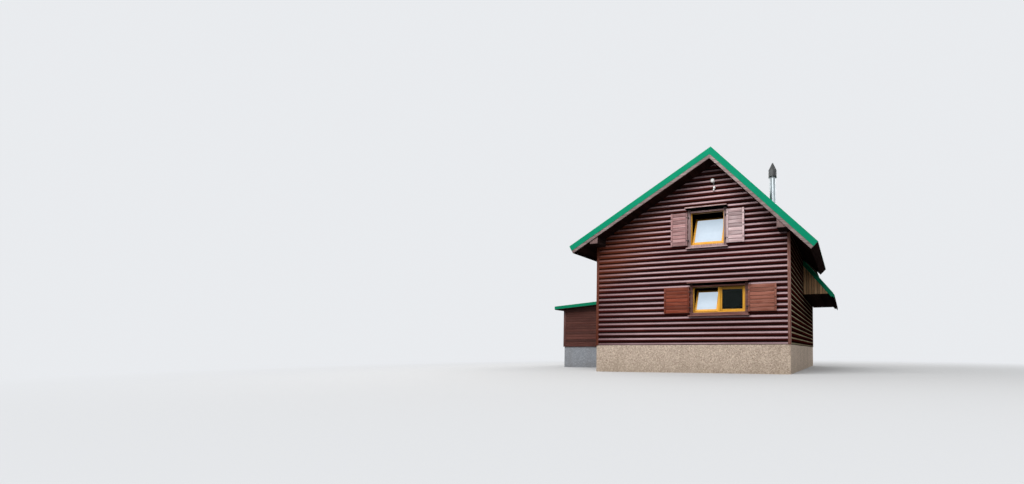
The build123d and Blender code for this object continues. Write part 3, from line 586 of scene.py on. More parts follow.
def window_glass(name, veil, mirror, reflects, tint, glow=0.0):
    """Clear glass with a share of mirror, and of a glowing pale veil that paints the sky's
    reflection.
    """
    material, tree = bare_material(name)
    clear = add_node(tree, "BsdfTransparent", {"Color": (*tint, 1)}).outputs[0]
    reflected = add_node(
        tree, "BsdfGlossy", {"Color": (*reflects, 1), "Roughness": 0.03}
    ).outputs[0]
    painted_sky = add_node(tree, "BsdfDiffuse", {"Color": (*PAINTED_SKY_VEIL, 1)}).outputs[0]
    even = add_node(tree, "Emission", {"Color": (*PAINTED_GLOW_COLOUR, 1), "Strength": glow}).outputs[0]
    painted_sky = add_node(tree, "AddShader", {0: painted_sky, 1: even}).outputs[0]
    uneven = scaled(tree, noise(tree, object_place(tree), 2.3, detail=3), 0.3, 0.7, 0.88, 1.0)
    edge_on = add_node(tree, "Fresnel", {"IOR": 1.5}).outputs[0]
    share = calculate(tree, "MAXIMUM", edge_on, mirror)
    glass = add_node(tree, "MixShader", {0: share, 1: clear, 2: reflected}).outputs[0]
    veil_share = calculate(tree, "MULTIPLY", uneven, veil)
    mixed = add_node(tree, "MixShader", {0: veil_share, 1: glass, 2: painted_sky}).outputs[0]
    add_node(tree, "OutputMaterial", {"Surface": mixed})
    return material


# Tilted panes: a painted reflection of the sky and a painted glow; the room's panes only mirror.
sky_glass = window_glass("sky_glass", 0.97, 0.06, (0.90, 0.94, 1.0), (0.60, 0.66, 0.68), 0.68)
room_glass = window_glass("room_glass", 0.002, 0.015, (0.25, 0.29, 0.27), (0.50, 0.56, 0.55))
print("glass finishes", sky_glass.name, room_glass.name)

# %% [markdown]
# The new pieces are shaped as by hand: a primitive at its place, then cuts, bevels and moved
# corners in edit mode. These helpers select in code what a hand would click, because an operator
# works on everything that is selected.

# %% Shaping helpers
UP, DOWN = Vector((0, 0, 1)), Vector((0, 0, -1))
TOUCH, SQUARE_ON = 0.001, 0.999
MERGE_WITHIN, FLAT_WITHIN, SMOOTH_WITHIN = 0.00001, math.radians(0.5), math.radians(32)
chance = random.Random(11)


def add_primitive(kind, name, **sizes):
    """One primitive, alone in the selection, its place already in its mesh."""
    clear_selection()
    getattr(bpy.ops.mesh, f"primitive_{kind}_add")(**sizes)
    piece = bpy.context.object
    piece.name = piece.data.name = name
    bpy.ops.object.transform_apply(location=True, rotation=True, scale=True)
    return piece


def block(name, corner, other):
    """A plain box between two corners."""
    low, high = Vector(map(min, corner, other)), Vector(map(max, corner, other))
    return add_primitive("cube", name, size=1, location=(low + high) / 2, scale=high - low)


def take_up(piece):
    """Select one piece alone and make it the active one."""
    clear_selection()
    piece.select_set(True)
    bpy.context.view_layer.objects.active = piece


@contextmanager
def editing(piece, wanted=None, kind="faces"):
    """Edit mode with only the wanted faces, edges or verts selected, or with everything."""
    take_up(piece)
    bpy.ops.object.mode_set(mode="EDIT")
    bpy.ops.mesh.select_mode(type={"faces": "FACE", "edges": "EDGE", "verts": "VERT"}[kind])
    bpy.ops.mesh.select_all(action="DESELECT" if wanted else "SELECT")
    if wanted:
        shape = bmesh.from_edit_mesh(piece.data)
        for item in getattr(shape, kind):
            item.select_set(bool(wanted(item)))
        shape.select_flush_mode()
        bmesh.update_edit_mesh(piece.data)
    yield
    bpy.ops.object.mode_set(mode="OBJECT")


def cut_away(piece, point, outward):
    """Saw through a piece and drop what lies outward; the operator wants a unit direction."""
    with editing(piece):
        bpy.ops.mesh.bisect(
            plane_co=point, plane_no=Vector(outward).normalized(), use_fill=True, clear_outer=True
        )


def turn(piece, degrees, axis, centre):
    """Turn a piece about an axis; with no window the operator turns the other way."""
    take_up(piece)
    bpy.ops.transform.rotate(
        value=-math.radians(degrees), orient_axis=axis, center_override=centre
    )
    bpy.ops.object.transform_apply(location=True, rotation=True, scale=True)


def move(piece, offset):
    """Move a piece's mesh; its object stays at the origin."""
    take_up(piece)
    bpy.ops.transform.translate(value=offset)
    bpy.ops.object.transform_apply(location=True, rotation=False, scale=False)


def ease_edges(piece, width, segments=2, sharper=0.5):
    """Bevel the edges that are sharper than an angle in radians."""
    sharp = lambda edge: len(edge.link_faces) == 2 and edge.calc_face_angle() > sharper
    with editing(piece, sharp, "edges"):
        bpy.ops.mesh.bevel(offset=width, segments=segments, affect="EDGES")


def looks_up(face):
    """Whether a face is a top."""
    return face.normal.z > 0.9


def set_tone(piece, tone=None):
    """Give all faces of a piece the board's own tone, from 0 for dark to 1 for pale."""
    value = chance.random() if tone is None else tone
    layer = piece.data.attributes.get("tone")
    if layer is None:
        layer = piece.data.attributes.new("tone", "FLOAT", "FACE")
    layer.data.foreach_set("value", [value] * len(piece.data.polygons))
    return piece


def tone_faces(piece, tone, wanted):
    """Give another tone to the faces whose normal is wanted."""
    for face, item in zip(piece.data.polygons, piece.data.attributes["tone"].data):
        if wanted(face.normal):
            item.value = tone


def board(name, low, high, ease=0.003, tone=None, joint_shade_tone=None):
    """A sawn board between two corners, its edges eased; along a joint they may carry painted shade.
    """
    piece = block(name, low, high)
    with editing(piece):
        bpy.ops.mesh.bevel(offset=ease, segments=2, affect="EDGES")
    set_tone(piece, tone)
    if joint_shade_tone is not None:
        tone_faces(piece, joint_shade_tone, lambda normal: max(map(abs, normal)) < SQUARE_ON)
    return piece


def rod(name, start, end, radius, ease=0.001, vertices=24):
    """A round bar between two points, its end edges eased."""
    start, end = Vector(start), Vector(end)
    aim = (end - start).to_track_quat("Z", "Y").to_euler()
    piece = add_primitive(
        "cylinder", name, vertices=vertices, radius=radius, depth=(end - start).length,
        location=(start + end) / 2, rotation=aim,
    )
    ease_edges(piece, ease, sharper=1)
    return set_tone(piece, 0.5)


def cut_out(piece, cutter):
    """Cut one shape out of a piece; the cutter is used up."""
    take_up(piece)
    modifier = piece.modifiers.new("cut", "BOOLEAN")
    modifier.operation, modifier.solver, modifier.object = "DIFFERENCE", "EXACT", cutter
    bpy.ops.object.modifier_apply(modifier=modifier.name)
    bpy.data.objects.remove(cutter)


def carve(piece, low, high):
    """Cut the box between two corners out of a piece."""
    cut_out(piece, block("cutter", low, high))


def joined(pieces, name):
    """Join several pieces into one mesh."""
    take_up(pieces[0])
    for piece in pieces:
        piece.select_set(True)
    if len(pieces) > 1:
        bpy.ops.object.join()
    pieces[0].name = pieces[0].data.name = name
    return pieces[0]


def copies(piece, offsets):
    """The piece itself and a copy of it, with its own mesh, at each offset."""
    made = [piece]
    for offset in offsets:
        take_up(piece)
        bpy.ops.object.duplicate()
        copy = bpy.context.object
        move(copy, offset)
        made.append(set_tone(copy))
    return made


def eased_copy(node, ease):
    """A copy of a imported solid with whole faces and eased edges, in the node's place."""
    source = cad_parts[node]
    piece = bpy.data.objects.new(node + "_dressed", source.data.copy())
    bpy.context.scene.collection.objects.link(piece)
    piece.data.materials.clear()
    with editing(piece):
        bpy.ops.mesh.customdata_custom_splitnormals_clear()
        bpy.ops.mesh.remove_doubles(threshold=MERGE_WITHIN)
        bpy.ops.mesh.dissolve_limited(angle_limit=FLAT_WITHIN)
        bpy.ops.mesh.select_all(action="SELECT")
    ease_edges(piece, ease)
    return set_tone(piece, 0.5)


def second_finish(piece, finish, wanted):
    """Give a second finish to the faces whose centre is wanted."""
    piece.data.materials.append(finish)
    for face in piece.data.polygons:
        face.material_index = int(wanted(face.center))


def hand_over(piece, finish=None, body="cabin", replaces=()):
    """Finish a piece: smooth its round faces, give it its finish and set it on its body."""
    take_up(piece)
    bpy.ops.object.shade_smooth_by_angle(angle=SMOOTH_WITHIN)
    if finish:
        piece.data.materials.clear()
        piece.data.materials.append(finish)
    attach(piece, body)
    if replaces:
        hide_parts(*replaces)
    triangles = sum(len(face.vertices) - 2 for face in piece.data.polygons)
    print(piece.name, triangles, "triangles on", body)


print("shaping helpers ready")

# %% [markdown]
# The roof's two slopes meet to the right of the middle. Everything on the gables is cut along
# them, so their lines are set once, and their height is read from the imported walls.

# %% Lines of the walls and the roof
LEFT_PITCH, RIGHT_PITCH = math.radians(28.8), math.radians(45)
PLATE_WIDTH, PLATE_DEPTH = 0.300, 0.195
RIDGE_X = 0.965
ridge_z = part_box("front_wall")[1].z
core_x, core_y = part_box("front_wall")[1].x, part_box("back_wall")[1].y


def soffit_level(x):
    """Height of the main roof's underside at x."""
    return ridge_z - abs(x - RIDGE_X) * math.tan(LEFT_PITCH if x < RIDGE_X else RIGHT_PITCH)


def plate_bottom(side):
    """Underside of a wall plate, under the roof on the left (-1) or right (+1) wall."""
    return soffit_level(side * (core_x - PLATE_WIDTH / 2)) - PLATE_DEPTH


print("ridge at", RIDGE_X, round(ridge_z, 3), "walls to", round(core_x, 3), round(core_y, 3))

# %% [markdown]
# The cladding is made of half logs: boards with a round face, one above another. Each is a slice
# of a cylinder, sawn flat at its back and at both joints. A wall is built as if it were the front
# one and then turned to its side. Long courses are two boards, butted where the fitter chose.

# %% Half logs
LOG_GAP = 0.0015
BUTT_GAP = 0.002
LONGEST_LOG, BUTT_MARGIN = 5.2, 0.25
LOG_SIDES, LOG_UNEVEN = 84, 0.001


def half_log(start, end, low, high, core):
    """One round-faced log along X, on a wall whose bare face is at y = -core."""
    bulge = LOG_REACH - LOG_JOINT_REACH
    radius = ((high - low) ** 2 / 4 + bulge**2) / (2 * bulge)
    proud = chance.uniform(-LOG_UNEVEN, LOG_UNEVEN)
    log = add_primitive(
        "cylinder", "log", vertices=LOG_SIDES, radius=radius, depth=end - start,
        location=((start + end) / 2, radius - core - LOG_REACH - proud, (low + high) / 2),
        rotation=(0, math.pi / 2, 0),
    )
    cut_away(log, (0, 0, high - LOG_GAP), UP)
    cut_away(log, (0, 0, low + LOG_GAP), DOWN)
    cut_away(log, (0, -core, 0), (0, 1, 0))
    return log


def course_parts(start, end):
    """Ends of the boards of one course: one board, or two with a butt joint."""
    if end - start < LONGEST_LOG:
        return [(start, end)]
    margin = BUTT_MARGIN * (end - start)
    butt = chance.uniform(start + margin, end - margin)
    return [(start, butt - BUTT_GAP / 2), (butt + BUTT_GAP / 2, end)]


def in_the_way(box, start, end, low, high):
    """Whether a cut's box reaches a log."""
    return box[0][2] < high and box[1][2] > low and box[0][0] < end and box[1][0] > start


def log_wall(name, core, reach, top, cuts, slopes=(), degrees=0):
    """A clad wall, cut for its openings and along the roof, and turned to its side."""
    levels = [plinth_top, first_joint]
    while levels[-1] < top:
        levels.append(levels[-1] + LOG_COURSE)
    logs = []
    for low, high in zip(levels, levels[1:]):
        start, end = -reach, reach
        for point, outward in slopes:
            edge = point[0] - (low - point[2]) * outward[2] / outward[0]
            start, end = (max(start, edge), end) if outward[0] < 0 else (start, min(end, edge))
        for part_start, part_end in course_parts(start, end):
            log = half_log(part_start, part_end, low, high, core)
            for point, outward in slopes:
                cut_away(log, point, outward)
            if high > top:
                cut_away(log, (0, 0, top), UP)
            for box in cuts:
                if in_the_way(box, part_start, part_end, low, high):
                    carve(log, *box)
            logs.append(set_tone(log))
    wall = joined(logs, name)
    if degrees:
        turn(wall, degrees, "Z", (0, 0, 0))
    return wall

# %% [markdown]
# The gable walls are cut under the casings of their windows, for the rear door and for the wall
# plates that run out under the verges. The back wall is built as if it were the front one and
# turned half round, so its cuts are mirrored first.

# %% Log walls
CASING_COVER = 0.060
CUT_FRONT, CUT_BACK, CUT_SIDE = -5, -4, 4
UPPER_WINDOW = (0.105, 1.305, 4.25, 5.40)
LOWER_WINDOW = (0.1825, 2.0175, 1.98, 2.88)
door_low, door_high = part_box("door_frame")
REAR_DOOR = (door_low.x, door_high.x, door_low.z, door_high.z)
log_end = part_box("front_logs")[1].x
side_log_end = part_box("side_logs")[1].y


def gable_cuts(side, openings):
    """Boxes for a gable's openings and wall plates; side is -1 for the back wall."""
    boxes, cover = [], CASING_COVER
    for left, right, sill, head in openings:
        left, right = sorted((side * left, side * right))
        low, high = (left - cover, CUT_FRONT, sill - cover), (right + cover, CUT_BACK, head + cover)
        boxes.append((low, high))
    for end in (-1, 1):
        inner, outer = sorted((side * end * (core_x - PLATE_WIDTH), side * end * CUT_SIDE))
        bottom = plate_bottom(end)
        boxes.append(((inner, CUT_FRONT, bottom), (outer, CUT_BACK, bottom + 1)))
    return boxes


def gable_slopes(side):
    """The two cuts along the roof."""
    point = (side * RIDGE_X, 0, ridge_z)
    left = (-side * math.sin(LEFT_PITCH), 0, math.cos(LEFT_PITCH))
    right = (side * math.sin(RIGHT_PITCH), 0, math.cos(RIGHT_PITCH))
    return [(point, left), (point, right)]


front_cuts = gable_cuts(1, [UPPER_WINDOW, LOWER_WINDOW])
front_courses = log_wall("front_courses", core_y, log_end, ridge_z, front_cuts, gable_slopes(1))
hand_over(front_courses, log_painted_light_finish, replaces=["front_logs"])
back_cuts = gable_cuts(-1, [UPPER_WINDOW, LOWER_WINDOW, REAR_DOOR])
back_courses = log_wall(
    "back_courses", core_y, log_end, ridge_z, back_cuts, gable_slopes(-1), degrees=180
)
hand_over(back_courses, log_painted_light_finish, replaces=["back_logs"])

# %% [markdown]
# The side walls are plain runs of logs up to the wall plates. On the right the two timbers that
# carry the porch roof are let into them.

# %% Side walls
LEDGER_HEIGHT = 0.160
SIDE_CUT_FRONT, SIDE_CUT_BACK = -4, -3
ledger_low, ledger_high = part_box("porch_ledger")
ledger_cuts = [
    ((ledger_low.y, SIDE_CUT_FRONT, level),
     (ledger_high.y + 1, SIDE_CUT_BACK, level + LEDGER_HEIGHT))
    for level in (ledger_low.z, ledger_high.z - LEDGER_HEIGHT)
]
left_courses = log_wall("left_courses", core_x, side_log_end, plate_bottom(-1), [], degrees=-90)
right_courses = log_wall(
    "right_courses", core_x, side_log_end, plate_bottom(1), ledger_cuts, degrees=90
)
side_courses = joined([left_courses, right_courses], "side_courses")
hand_over(side_courses, side_log_painted_light_finish, replaces=["side_logs"])

# %% [markdown]
# Each gable has two windows: a small upper one, and a lower one of two lights. A window is built
# as if it stood in the front gable; for the back it is mirrored first and then turned half round.
# The frame is four bars that meet square, with a post between two lights.

# %% Window frames
FRAME_BAR, FRAME_DEPTH, FRAME_SETBACK = 0.050, 0.070, 0.010
MULLION = 0.060
# A tone of painted shade, for parts that lie in the shadow of a hood.
PAINTED_SHADE_TONE = -1.5
SIDES = ((1, "front"), (-1, "back"))
frame_face = -(core_y - FRAME_SETBACK)
frame_back = frame_face + FRAME_DEPTH


def seen_from(side, opening):
    """An opening as it stands in the front gable, mirrored for the back one (-1)."""
    left, right, sill, head = opening
    left, right = sorted((side * left, side * right))
    return left, right, sill, head


def bars(name, left, right, low, high, front, back, bar, ease=0.003):
    """Four bars round a rectangle: uprights full height, the others between them."""
    return [
        board(name, (left, front, low), (left + bar, back, high), ease),
        board(name, (right - bar, front, low), (right, back, high), ease),
        board(name, (left + bar, front, low), (right - bar, back, low + bar), ease),
        board(name, (left + bar, front, high - bar), (right - bar, back, high), ease),
    ]


def lights_of(opening, count):
    """Left and right edges of a window's lights."""
    left, right = opening[0] + FRAME_BAR, opening[1] - FRAME_BAR
    width = (right - left - (count - 1) * MULLION) / count
    pitch = width + MULLION
    return [(left + i * pitch, left + i * pitch + width) for i in range(count)]


def window_frame(opening, count):
    """The fixed frame of one window with a post between two lights; its head bar has painted shade.
    """
    left, right, sill, head = opening
    pieces = bars("frame", left, right, sill, head, frame_face, frame_back, FRAME_BAR)
    # Painted shade of the hood on the head bar.
    set_tone(pieces[-1], PAINTED_SHADE_TONE)
    lights = lights_of(opening, count)
    for (_, post_left), (post_right, _) in zip(lights, lights[1:]):
        pieces.append(board(
            "post", (post_left, frame_face, sill + FRAME_BAR),
            (post_right, frame_back, head - FRAME_BAR), tone=1,
        ))
    return pieces

# %% [markdown]
# Sashes hang in the frame and tip into the room at the top. Each is four bars round a sealed
# unit: two panes with a dark spacer between them, held by thin glazing beads. Two of the front
# ones stand tipped, so each sash is built upright and then turned about its bottom edge.

# %% Sashes and panes
SASH_BAR, SASH_DEPTH, SASH_CLEARANCE = 0.060, 0.045, 0.005
SASH_SEAT, SASH_GAP = 0.003, 0.0003
PANE, PANE_SPACE, PANE_EASE = 0.004, 0.014, 0.0005
BEAD, BEAD_EASE = 0.010, 0.002
SPACER, SPACER_EASE = 0.012, 0.001


def sash(opening, light, tilt, pane_finish):
    """One sash and its panes; tilt is how far its top leans into the room."""
    left, right = light[0] + SASH_CLEARANCE, light[1] - SASH_CLEARANCE
    low = opening[2] + FRAME_BAR + SASH_GAP
    high = opening[3] - FRAME_BAR - SASH_CLEARANCE
    back = frame_back - SASH_SEAT
    front = back - SASH_DEPTH
    middle = (front + back) / 2
    wood = bars("sash", left, right, low, high, front, back, SASH_BAR)
    inside = (left + SASH_BAR, right - SASH_BAR, low + SASH_BAR, high - SASH_BAR)
    space_front, space_back = middle - PANE_SPACE / 2, middle + PANE_SPACE / 2
    bead_front, bead_back = space_front - 2 * PANE - BEAD, space_front - PANE
    wood += bars("bead", *inside, bead_front, bead_back, BEAD, BEAD_EASE)
    spacer = bars("spacer", *inside, space_front, space_back, SPACER, SPACER_EASE)
    panes = [
        board(
            "pane", (inside[0], y - PANE / 2, inside[2]), (inside[1], y + PANE / 2, inside[3]),
            PANE_EASE,
        )
        for y in (space_front - PANE / 2, space_back + PANE / 2)
    ]
    for pane in panes:
        pane.data.materials.append(pane_finish)
    # Painted shade of the hood on the top rail, deeper on a tilted sash.
    set_tone(wood[3], PAINTED_SHADE_TONE if tilt else PAINTED_SHADE_TONE / 2)
    if tilt:
        for piece in (*wood, *spacer, *panes):
            turn(piece, -tilt, "X", (0, back, low))
    return wood, spacer, panes


SASH_TILT = 22
WINDOWS = [
    (1, UPPER_WINDOW, [SASH_TILT]),
    (1, LOWER_WINDOW, [SASH_TILT, 0]),
    (-1, UPPER_WINDOW, [0]),
    (-1, LOWER_WINDOW, [0, 0]),
]
frame_pieces = {1: [], -1: []}
sash_wood, spacers, panes = [], [], []
for side, opening, tilts in WINDOWS:
    opening = seen_from(side, opening)
    fixed = window_frame(opening, len(tilts))
    wood, dark, glass = [], [], []
    for light, tilt in zip(lights_of(opening, len(tilts)), tilts):
        parts = sash(opening, light, tilt, sky_glass if tilt else room_glass)
        for kept, made in zip((wood, dark, glass), parts):
            kept += made
    if side < 0:
        for piece in (*fixed, *wood, *dark, *glass):
            turn(piece, 180, "Z", (0, 0, 0))
    frame_pieces[side] += fixed
    sash_wood, spacers, panes = sash_wood + wood, spacers + dark, panes + glass

for side, name in SIDES:
    frames = joined(frame_pieces[side], f"{name}_frames")
    hand_over(frames, frame_finish, replaces=[f"{name}_window_frames"])
hand_over(joined(sash_wood, "sash_bars"), frame_finish, replaces=["window_sashes"])
hand_over(joined(spacers, "pane_spacers"), gasket_finish)
hand_over(joined(panes, "window_panes"), replaces=["window_glass"])

# %% [markdown]
# Casing boards cover the joint between the logs and the window. A sloping hood board throws the
# rain off above, and a narrower sill board lies below, each on a bearer with a drip groove. The
# rain has bleached the sloping boards, and their tone is raised further as a painted highlight, so
# they draw a thin pale line over the bearers, which are painted near black as painted shade. The
# head casing lies in the shade of the hood and is painted dark too, a painted shade, with a list
# along its foot that is painted pale, a painted light. The boards of the lower window are the
# darker ones, so they take a second finish.

# %% Casings, hoods and sills
CASING, CASING_REACH, CASING_LAP = 0.075, 0.050, 0.022
CASING_EASE, HEAD_EASE, SHELF_EASE = 0.004, 0.002, 0.003
HEAD_LIST, HEAD_STEP = 0.045, 0.012
SHELF_END, HAIRLINE = 0.045, 0.0005
HOOD_REACH, HOOD_THICK, HOOD_FALL, HOOD_LAP = 0.200, 0.075, 0.030, 0.008
SILL_REACH, SILL_THICK, SILL_FALL, SILL_LAP = 0.080, 0.045, 0.010, 0.015
log_face = -(core_y + LOG_REACH)
casing_face = -(core_y + CASING_REACH)
DRIP_GROOVE, GROOVE_PAST = 0.008, 0.01
LIP, LIP_REACH = 0.033, 0.030
# The covers' tone is raised as a painted highlight, the list's as painted light in the hood's shade.
COVER_BLEACH_AND_LIGHT_TONE, LIST_PAINTED_LIGHT_TONE = 1.4, 2.6
STOREY_LINE = (LOWER_WINDOW[3] + UPPER_WINDOW[2]) / 2


def sloping_board(name, opening, low, high, edge, fall):
    """A level board from the logs out to an edge, its top falling outwards."""
    left, right = opening[0] - CASING - SHELF_END, opening[1] + CASING + SHELF_END
    piece = block(name, (left, edge, low), (right, log_face, high))
    outer_top = lambda vert: vert.co.y < edge + TOUCH and vert.co.z > high - TOUCH
    with editing(piece, outer_top, "verts"):
        bpy.ops.transform.translate(value=(0, 0, -fall))
    return piece, left, right


def shelf(name, opening, low, thick, fall, reach):
    """A bleached board with a falling top, and the bearer under it with its drip groove."""
    edge = casing_face - reach
    top = low + thick
    cover, left, right = sloping_board(name, opening, top - LIP, top, edge, fall)
    outer_foot = lambda vert: vert.co.y < edge + TOUCH and abs(vert.co.z - top + LIP) < TOUCH
    with editing(cover, outer_foot, "verts"):
        bpy.ops.transform.translate(value=(0, 0, -fall))
    bearer_edge = edge + LIP_REACH
    bearer, *_ = sloping_board(name, opening, low, top - LIP - HAIRLINE, bearer_edge, fall)
    groove = bearer_edge + 3 * DRIP_GROOVE
    carve(
        bearer, (left - GROOVE_PAST, groove, low - GROOVE_PAST),
        (right + GROOVE_PAST, groove + DRIP_GROOVE, low + DRIP_GROOVE),
    )
    # The cover: a raised pale tone, partly painted highlight; the bearer: painted shade.
    for piece, tone in ((cover, COVER_BLEACH_AND_LIGHT_TONE), (bearer, PAINTED_SHADE_TONE)):
        ease_edges(piece, SHELF_EASE)
        set_tone(piece, tone)
    return cover, bearer


def casing_boards(opening):
    """Boards round a window that lap a little over its frame, and the head board with painted shade.
    """
    left, right, sill, head = opening
    outer = (left - CASING, right + CASING, sill - CASING, head + CASING)
    boards = bars("casing", *outer, casing_face, -core_y, CASING + CASING_LAP, CASING_EASE)
    bpy.data.objects.remove(boards.pop())
    left, right, low = left + CASING_LAP, right - CASING_LAP, head - CASING_LAP
    top = low + HEAD_LIST
    # The list is painted pale as painted light; the head board above it carries painted shade.
    boards.append(board(
        "list", (left, casing_face, low), (right, -core_y, top), CASING_EASE, LIST_PAINTED_LIGHT_TONE
    ))
    return boards, board(
        "head", (left, casing_face + HEAD_STEP, top + HAIRLINE),
        (right, -core_y, head + CASING), HEAD_EASE, PAINTED_SHADE_TONE,
    )


def hood_and_sill(opening):
    """The two shelves of a window: their covers and their bearers."""
    hood_low = opening[3] + CASING - HOOD_LAP
    sill_low = opening[2] - CASING + SILL_LAP - SILL_THICK
    return zip(
        shelf("hood", opening, hood_low, HOOD_THICK, HOOD_FALL, HOOD_REACH),
        shelf("sill", opening, sill_low, SILL_THICK, SILL_FALL, SILL_REACH),
    )


for side, name in SIDES:
    casings, covers, shaded = [], [], []
    for opening in (UPPER_WINDOW, LOWER_WINDOW):
        boards, head = casing_boards(seen_from(side, opening))
        tops, bearers = hood_and_sill(seen_from(side, opening))
        casings, covers, shaded = casings + boards, covers + [*tops], shaded + [head, *bearers]
    casings = joined(casings, f"{name}_casings")
    covers = joined(covers, f"{name}_hoods_and_sills")
    shaded = joined(shaded, f"{name}_bearers")
    for piece in (casings, covers, shaded):
        turn(piece, 90 - 90 * side, "Z", (0, 0, 0))
    hand_over(casings, casing_finish, replaces=[f"{name}_window_trim"])
    hand_over(covers, shelf_finish)
    # Heads and bearers get the near-black finish of painted shade.
    hand_over(shaded, painted_shade_finish)
    for piece in (casings, covers):
        second_finish(piece, low_trim_finish, lambda centre: centre.z < STOREY_LINE)

# %% [markdown]
# A shutter is a row of level planks between two stiles. The edges of the planks are chamfered and
# carry painted shade, so a dark line shows at each joint, and every plank has faded in its own way.
# Two iron straps on the back hold them together, and each strap ends in an eye that turns on its
# pin.

# %% Shutters
SHUTTER_THICK, SHUTTER_STANDOFF = 0.034, 0.010
SHUTTER_TRIM, MEETING_GAP = 0.012, 0.008
STILE, PLANK_RECESS, PLANK_CHAMFER = 0.062, 0.008, 0.007
# Tones of painted shade on the chamfered edges along joints and under boards.
JOINT_SHADE_TONE, SHUTTER_JOINT_SHADE_TONE = -1.2, -0.5
PLANK_WIDTH, PLANK_GAP, PLANK_UNEVEN = 0.125, 0.001, 0.0008
HINGE_OFFSET, HINGE_INSET, EYE_HEIGHT = 0.040, 0.150, 0.045
EYE_RADIUS, EYE_BORE = 0.013, 0.0074
STRAP_THICK, STRAP_WIDTH, STRAP_SHARE, STRAP_GAP = 0.004, 0.038, 0.6, 0.004
KNUCKLE_THICK, KNUCKLE_START, IRON_GAP = 0.012, 0.8, 0.001
FRONT_SHUTTERS = [
    (storey, hand, opening, away)
    for storey, opening in (("upper", UPPER_WINDOW), ("lower", LOWER_WINDOW))
    for hand, away in (("left", -1), ("right", 1))
]
shutter_back = casing_face - SHUTTER_STANDOFF
shutter_face = shutter_back - SHUTTER_THICK
hinge_y = shutter_back - SHUTTER_THICK / 2


def shutter_boards(left, right, low, high):
    """Stiles and planks of one open shutter."""
    wood = [
        board("stile", (left, shutter_face, low), (left + STILE, shutter_back, high)),
        board("stile", (right - STILE, shutter_face, low), (right, shutter_back, high)),
    ]
    count = round((high - low) / PLANK_WIDTH)
    pitch = (high - low) / count
    for i in range(count):
        bottom = low + i * pitch + PLANK_GAP / 2
        recess = PLANK_RECESS + chance.uniform(-PLANK_UNEVEN, PLANK_UNEVEN)
        wood.append(board(
            "plank", (left + STILE, shutter_face + recess, bottom),
            (right - STILE, shutter_back, bottom + pitch - PLANK_GAP), PLANK_CHAMFER,
            joint_shade_tone=SHUTTER_JOINT_SHADE_TONE,
        ))
    return wood


def hinge_strap(axis_x, away, level, length):
    """A strap on the shutter's back with the eye that turns on the pin."""
    middle = level + EYE_HEIGHT / 2
    eye = rod("eye", (axis_x, hinge_y, level), (axis_x, hinge_y, level + EYE_HEIGHT), EYE_RADIUS)
    bore = add_primitive(
        "cylinder", "bore", vertices=24, radius=EYE_BORE, depth=2 * EYE_HEIGHT,
        location=(axis_x, hinge_y, middle),
    )
    cut_out(eye, bore)
    knuckle = board(
        "knuckle",
        (axis_x + away * EYE_RADIUS * KNUCKLE_START, hinge_y - KNUCKLE_THICK / 2, level + IRON_GAP),
        (axis_x + away * HINGE_OFFSET, hinge_y + KNUCKLE_THICK / 2, level + EYE_HEIGHT - IRON_GAP),
        0.002,
    )
    strap = board(
        "strap",
        (axis_x + away * (HINGE_OFFSET + STRAP_GAP), shutter_back, middle - STRAP_WIDTH / 2),
        (axis_x + away * length, shutter_back + STRAP_THICK, middle + STRAP_WIDTH / 2), 0.0015,
    )
    return [eye, knuckle, strap]


def shutter_place(opening, away):
    """A shutter's pin, near edge, width, foot and head, left (-1) or right (1) of its window."""
    left, right, sill, head = opening
    width = (right - left - MEETING_GAP) / 2
    axis_x = left - HINGE_OFFSET if away < 0 else right + HINGE_OFFSET
    near = axis_x + away * HINGE_OFFSET
    return axis_x, near, width, sill + SHUTTER_TRIM, head - SHUTTER_TRIM


def add_shutter(opening, away):
    """Boards and straps of one open shutter."""
    axis_x, near, width, low, high = shutter_place(opening, away)
    wood = shutter_boards(*sorted((near, near + away * width)), low, high)
    iron = []
    for level in (low + HINGE_INSET, high - HINGE_INSET - EYE_HEIGHT):
        iron += hinge_strap(axis_x, away, level, HINGE_OFFSET + STRAP_SHARE * width)
    return wood, iron


for storey, hand, opening, away in FRONT_SHUTTERS:
    body = f"{storey}_{hand}_shutter"
    wood, iron = add_shutter(opening, away)
    finish = shutter_finishes[f"{storey}_{hand}"]
    hand_over(joined(wood, body + "_boards"), finish, body, [body])
    hand_over(joined(iron, body + "_straps"), iron_finish, body)

# %% [markdown]
# The rear shutters are fixed open, so they are one piece with the wall and ride on the cabin.

# %% Rear shutters
rear_wood, rear_iron = [], []
for _, _, opening, away in FRONT_SHUTTERS:
    wood, iron = add_shutter(seen_from(-1, opening), away)
    rear_wood, rear_iron = rear_wood + wood, rear_iron + iron
rear_wood = joined(rear_wood, "rear_shutter_boards")
rear_iron = joined(rear_iron, "rear_shutter_straps")
for piece in (rear_wood, rear_iron):
    turn(piece, 180, "Z", (0, 0, 0))
hand_over(rear_wood, shutter_finishes["lower_left"], replaces=["back_shutters"])
hand_over(rear_iron, iron_finish)

# %% [markdown]
# The green sheet is box-profile steel with ribs that run down the slope. A rib is modelled flat,
# with its top drawn in. A row of them is laid out level, which keeps the numbers simple, and then
# tipped to the slope. Round the flue the ribs stop above and below the flashing, as a roofer
# would cut them.

# %% Ribs of the main roof
ROOF_DEPTH, SHEET = 0.249, 0.006
ROOF_TOP = ROOF_DEPTH + SHEET
RIB_PITCH, RIB_WIDTH, RIB_HEIGHT, RIB_TOP_SHARE = 0.25, 0.045, 0.018, 0.55
RIB_END_GAP, RIB_EASE = 0.012, 0.002
CAP_WIDTH = 0.170
LEFT_EAVE_RUN, RIGHT_EAVE_RUN, SHORT_EAVE_RUN = 5.050, 3.185, 2.610
LAST_RIB = 5.0
porch_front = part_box("porch_roof")[0].y
flashing_low, flashing_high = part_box("flue_flashing")


